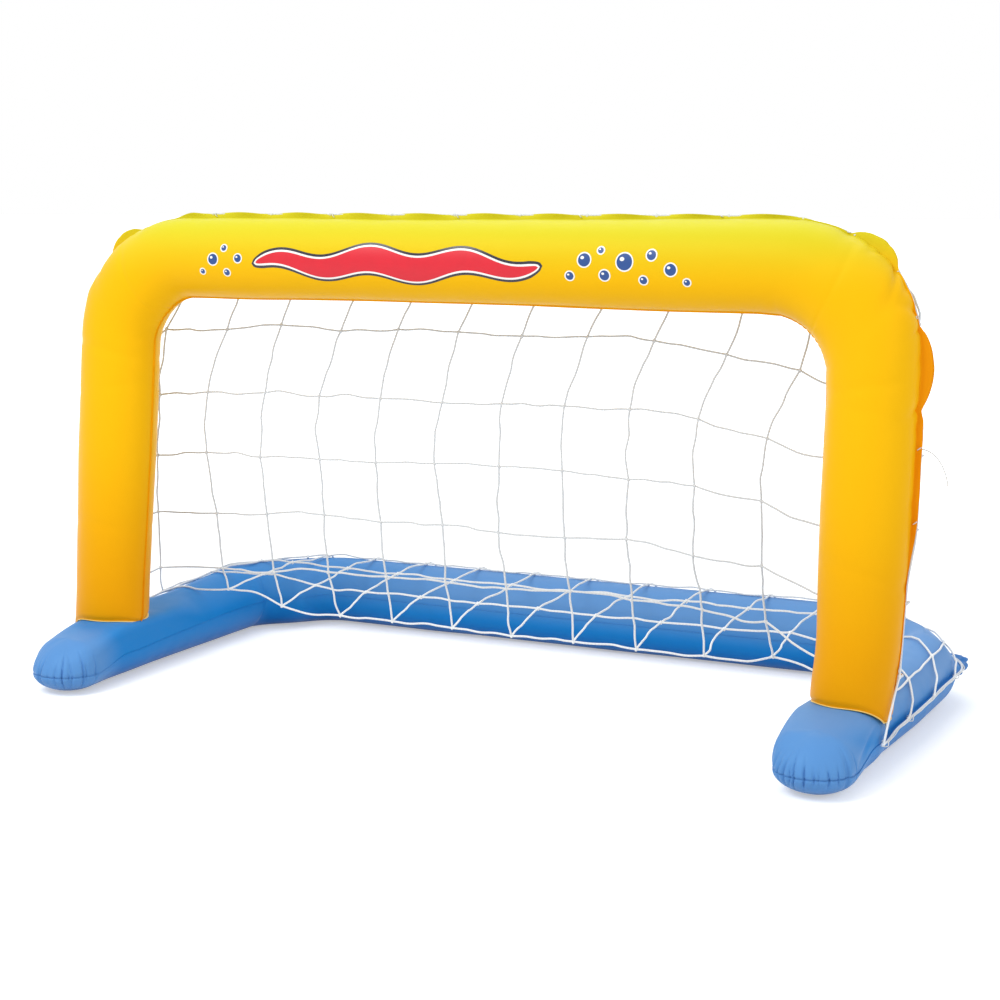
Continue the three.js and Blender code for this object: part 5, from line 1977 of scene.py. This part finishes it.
@dataclass
class Valve:
    """One push-in inflation valve: flange, stem, check flap and tethered plug."""

    chamber: str
    origin: tuple[float, float, float]
    axis: tuple[float, float, float]
    film: Finish
    slot: str
    sides: int = 56

    def matrix(self) -> Matrix:
        """The valve's frame: +Z out of the film, the tether's hinge on its -X side."""
        axis = Vector(self.axis).normalized()
        across = Vector((1.0, 0.0, 0.0))
        onward = across.cross(axis).normalized()
        made = Matrix.Identity(4)
        for row in range(3):
            made[row][0], made[row][1], made[row][2] = onward[row], across[row], axis[row]
            made[row][3] = self.origin[row]
        return made

    def lathe(self, profile: Sequence[tuple[float, float]]) -> Shape:
        """Points and faces of a closed profile turned about the axis, in millimetres."""
        turn = np.linspace(0, 2 * math.pi, self.sides, endpoint=False)
        cos, sin, flat = np.cos(turn), np.sin(turn), np.ones(self.sides)
        rows = [np.stack([r * cos, r * sin, z * flat], axis=-1) for r, z in profile]
        count = len(rows)
        faces = []
        for i in range(count):
            low, high = i * self.sides, ((i + 1) % count) * self.sides
            for j in range(self.sides):
                k = (j + 1) % self.sides
                faces.append([low + j, low + k, high + k, high + j])
        return merged(np.array(rows).reshape(-1, 3), faces)[:2]

    def piece(self, name: str, points: Array, faces: Faces, bevel: float = 0.0) -> bpy.types.Object:
        """A valve piece in the goal's frame, with softened edges."""
        matrix = np.array(self.matrix())
        world = (points * 1e-3) @ matrix[:3, :3].T + matrix[:3, 3]
        made = plain_mesh(f"{self.chamber}_{name}", world, faces, 35.0)
        work = bmesh.new()
        work.from_mesh(made.data)
        bmesh.ops.recalc_face_normals(work, faces=work.faces)
        work.to_mesh(made.data)
        work.free()
        if bevel:
            modifier = made.modifiers.new("soft_edges", "BEVEL")
            modifier.width, modifier.segments, modifier.limit_method = bevel * 1e-3, 2, "ANGLE"
        return made

    def slab(self, low: tuple[float, float, float], high: tuple[float, float, float]) -> Shape:
        """A strap between two corners, with a waist of several segments along X."""
        steps = 8
        rows = []
        for k in range(steps + 1):
            x = mix(low[0], high[0], k / steps)
            waist = 1 - 0.22 * math.sin(math.pi * k / steps)
            near, far = low[1] * waist, high[1] * waist
            rows.append([(x, near, low[2]), (x, far, low[2]), (x, far, high[2]), (x, near, high[2])])
        points = np.array(rows, dtype=float).reshape(-1, 3)
        faces = [[3, 2, 1, 0], [4 * steps, 4 * steps + 1, 4 * steps + 2, 4 * steps + 3]]
        for k in range(steps):
            for j in range(4):
                n = (j + 1) % 4
                faces.append([4 * k + j, 4 * k + n, 4 * (k + 1) + n, 4 * (k + 1) + j])
        return points, faces

    def joined(self, *parts: Shape) -> Shape:
        """Several point and face sets as one."""
        points, faces, start = [], [], 0
        for part, found in parts:
            points.append(part)
            faces += [[start + k for k in face] for face in found]
            start += len(part)
        return np.concatenate(points), faces

    def build(self, finishes: Finishes) -> None:
        """Makes the four pieces: the flange on the goal, the stem and the flap on the stem's body, the plug
        on its own body.
        """
        stem_body, plug_body = f"{self.chamber}_valve_stem", f"{self.chamber}_valve_plug"
        flange = self.lathe(
            [
                (5.8, 0.1), (11.2, 0.1), (12.0, 0.45), (11.8, 0.9), (8.6, 1.15), (7.7, 1.6), (7.55, 2.7),
                (7.2, 3.0), (6.1, 3.0), (5.8, 2.7),
            ]
        )
        stem = self.lathe(
            [
                (3.5, -4), (7.4, -4), (7.4, -2.8), (5.5, -2.8), (5.5, 3.4), (5.3, 3.7), (5.3, 4.3),
                (5.5, 4.6), (5.5, 10.6), (5.1, 11.2), (5.5, 11.6), (5.4, 12), (3.5, 12),
            ]
        )
        ear = self.slab((-11.6, -2.0, 11.2), (-5.0, 2.0, 12.0))
        flap = self.lathe([(0, -4.9), (5.4, -4.9), (5.45, -4.6), (5.4, -4.3), (0, -4.3)])
        plug = self.lathe(
            [
                (0, 8.8), (2.0, 8.8), (2.9, 10.2), (3.2, 12.1), (3.2, 12.3), (6.3, 12.3), (6.5, 12.6),
                (6.5, 13.6), (6.1, 13.9), (4.6, 13.9), (4.2, 13.6), (0, 13.6),
            ]
        )
        strap = self.slab((-11.0, -2.0, 12.3), (-4.0, 2.0, 13.5))
        for name, shape, body, finish, slot, bevel in (
            ("valve_flange_moulding", flange, GOAL, self.film, self.slot, 0.15),
            ("valve_stem_moulding", self.joined(stem, ear), stem_body, Finish.VALVE, "valve_plastic", 0.15),
            ("valve_flap_disc", flap, stem_body, Finish.VALVE, "valve_plastic", 0.0),
            ("valve_plug_moulding", self.joined(plug, strap), plug_body, Finish.VALVE, "valve_plastic", 0.15),
        ):
            made = self.piece(name, *shape, bevel)
            node = f"{self.chamber}_{name.rsplit('_', 1)[0]}"
            dressed(made, finishes[finish], body, [node])


# ---------------------------------------------------------------- studio


def backdrop_rays(t: Tree) -> bpy.types.NodeSocket:
    """1 for rays that see the backdrop: from the camera, mirrored or through a clear piece."""
    path = t.add("ShaderNodeLightPath").outputs
    turned = t.math("MAXIMUM", path["Is Glossy Ray"], path["Is Transmission Ray"])
    return t.math("MAXIMUM", path["Is Camera Ray"], turned)


@dataclass(frozen=True)
class Studio:
    """The photograph's camera, a pale floor and soft lights."""

    camera_place: tuple[float, float, float] = (1.3765, -2.808, 0.794)
    yaw: float = math.radians(26.33)
    pitch: float = math.radians(8.81)
    focal_pixels: float = 1966.9
    image_pixels: float = 1000.0
    sensor: float = 36.0
    floor_half: float = 60.0
    floor_drop: float = 0.0005
    aim: tuple[float, float, float] = (0.0, 0.0, 0.3)

    def camera(self) -> None:
        """Makes the camera at the photograph's viewing angle."""
        data = bpy.data.cameras.new("camera")
        data.sensor_width = self.sensor
        data.lens = self.sensor * self.focal_pixels / self.image_pixels
        eye = placed("camera", data)
        eye.location = self.camera_place
        eye.rotation_euler = (QUARTER - self.pitch, 0.0, self.yaw)
        bpy.context.scene.camera = eye

    def floor(self) -> None:
        """Makes the pale floor, which shows white where no shadow falls on it."""
        size, low = self.floor_half, -self.floor_drop
        corners = np.array([[-size, -size, low], [size, -size, low], [size, size, low], [-size, size, low]])
        floor = plain_mesh("floor", corners, [[0, 1, 2, 3]])
        material, t, shader = new_material("pale_floor")
        shader.inputs["Roughness"].default_value = 0.9
        shader.inputs["Specular IOR Level"].default_value = 0.1
        place = t.object_place()
        cloud = t.add("ShaderNodeTexNoise", {"Vector": place, "Scale": 1.5}).outputs[0]
        tone = t.add(
            "ShaderNodeMix", {"Factor": cloud, "A": (0.80, 0.80, 0.80, 1), "B": (0.84, 0.84, 0.84, 1)},
            data_type="RGBA",
        )
        t.link(tone.outputs["Result"], shader.inputs["Base Color"])
        seen = backdrop_rays(t)
        away = t.add("ShaderNodeVectorMath", {0: place}, operation="LENGTH").outputs["Value"]
        far = t.smooth_step(away, 1.2, 3.2, 0.42, 1.0)
        glow = t.add("ShaderNodeEmission", {"Color": (1, 1, 1, 1), "Strength": t.math("MULTIPLY", seen, far)})
        both = t.add("ShaderNodeAddShader", {0: shader.outputs[0], 1: glow.outputs[0]})
        t.link(both.outputs[0], material.node_tree.nodes["Material Output"].inputs[0])
        floor.data.materials.append(material)

    def world(self) -> None:
        """Makes the soft surrounding light and the white backdrop."""
        world = bpy.data.worlds.new("studio")
        bpy.context.scene.world = world
        world.use_nodes = True
        t = Tree(world.node_tree)
        sky = world.node_tree.nodes["Background"]
        sky.inputs["Color"].default_value = (0.93, 0.97, 1.0, 1)
        sky.inputs["Strength"].default_value = 0.72
        white = t.add("ShaderNodeBackground", {"Color": (1, 1, 1, 1), "Strength": 1.0})
        seen = backdrop_rays(t)
        both = t.add("ShaderNodeMixShader", {0: seen, 1: sky.outputs[0], 2: white.outputs[0]})
        t.link(both.outputs[0], world.node_tree.nodes["World Output"].inputs[0])

    def lamp(
        self, name: str, place: tuple[float, float, float], power: float, size: float,
        tint: tuple[float, float, float],
    ) -> None:
        """Makes a soft square lamp that points at the goal."""
        data = bpy.data.lights.new(name, "AREA")
        data.energy, data.size, data.color = power, size, tint
        lamp = placed(name, data)
        lamp.location = place
        lamp.rotation_euler = (Vector(self.aim) - Vector(place)).to_track_quat("-Z", "Y").to_euler()

    def build(self) -> None:
        """Makes the floor, the lights and the render's view settings."""
        self.floor()
        self.world()
        self.lamp("key", (-1.1, -2.2, 2.9), 58.0, 1.6, (1.0, 0.99, 0.97))
        self.lamp("fill", (2.6, -1.6, 1.4), 16.0, 2.0, (1.0, 0.98, 0.95))
        self.lamp("top", (0.0, 0.6, 3.0), 30.0, 2.4, (0.97, 0.99, 1.0))
        bpy.context.scene.view_settings.view_transform = "Standard"


def main() -> None:
    """Builds the goal piece by piece."""
    logging.basicConfig(level=logging.INFO, format="%(message)s")
    studio = Studio()
    studio.camera()
    layout = Layout()
    finishes = build_finishes()
    tree = cord_tree()
    net = Net(layout)
    lacing = Lacing(layout, net)
    lacing.build_tail(tree, finishes)
    arch = Arch(layout)
    arch.build(finishes)
    for side in (-1, 1):
        FootWeld(layout).build(side, finishes)
    Base(layout).build(finishes)
    net.build(tree, finishes)
    lacing.build(tree, finishes)
    BarPrint(arch).build(finishes)
    Valve(
        "arch", (0.638, -0.11254, 0.37502), (0, 0.99488, -0.10106), Finish.YELLOW, "yellow_sheet"
    ).build(finishes)
    Valve("base", (-0.05, 0.37411, 0.09268), (0, 0.90192, 0.4319), Finish.BLUE, "blue_sheet").build(finishes)
    studio.build()


if __name__ == "__main__":
    main()
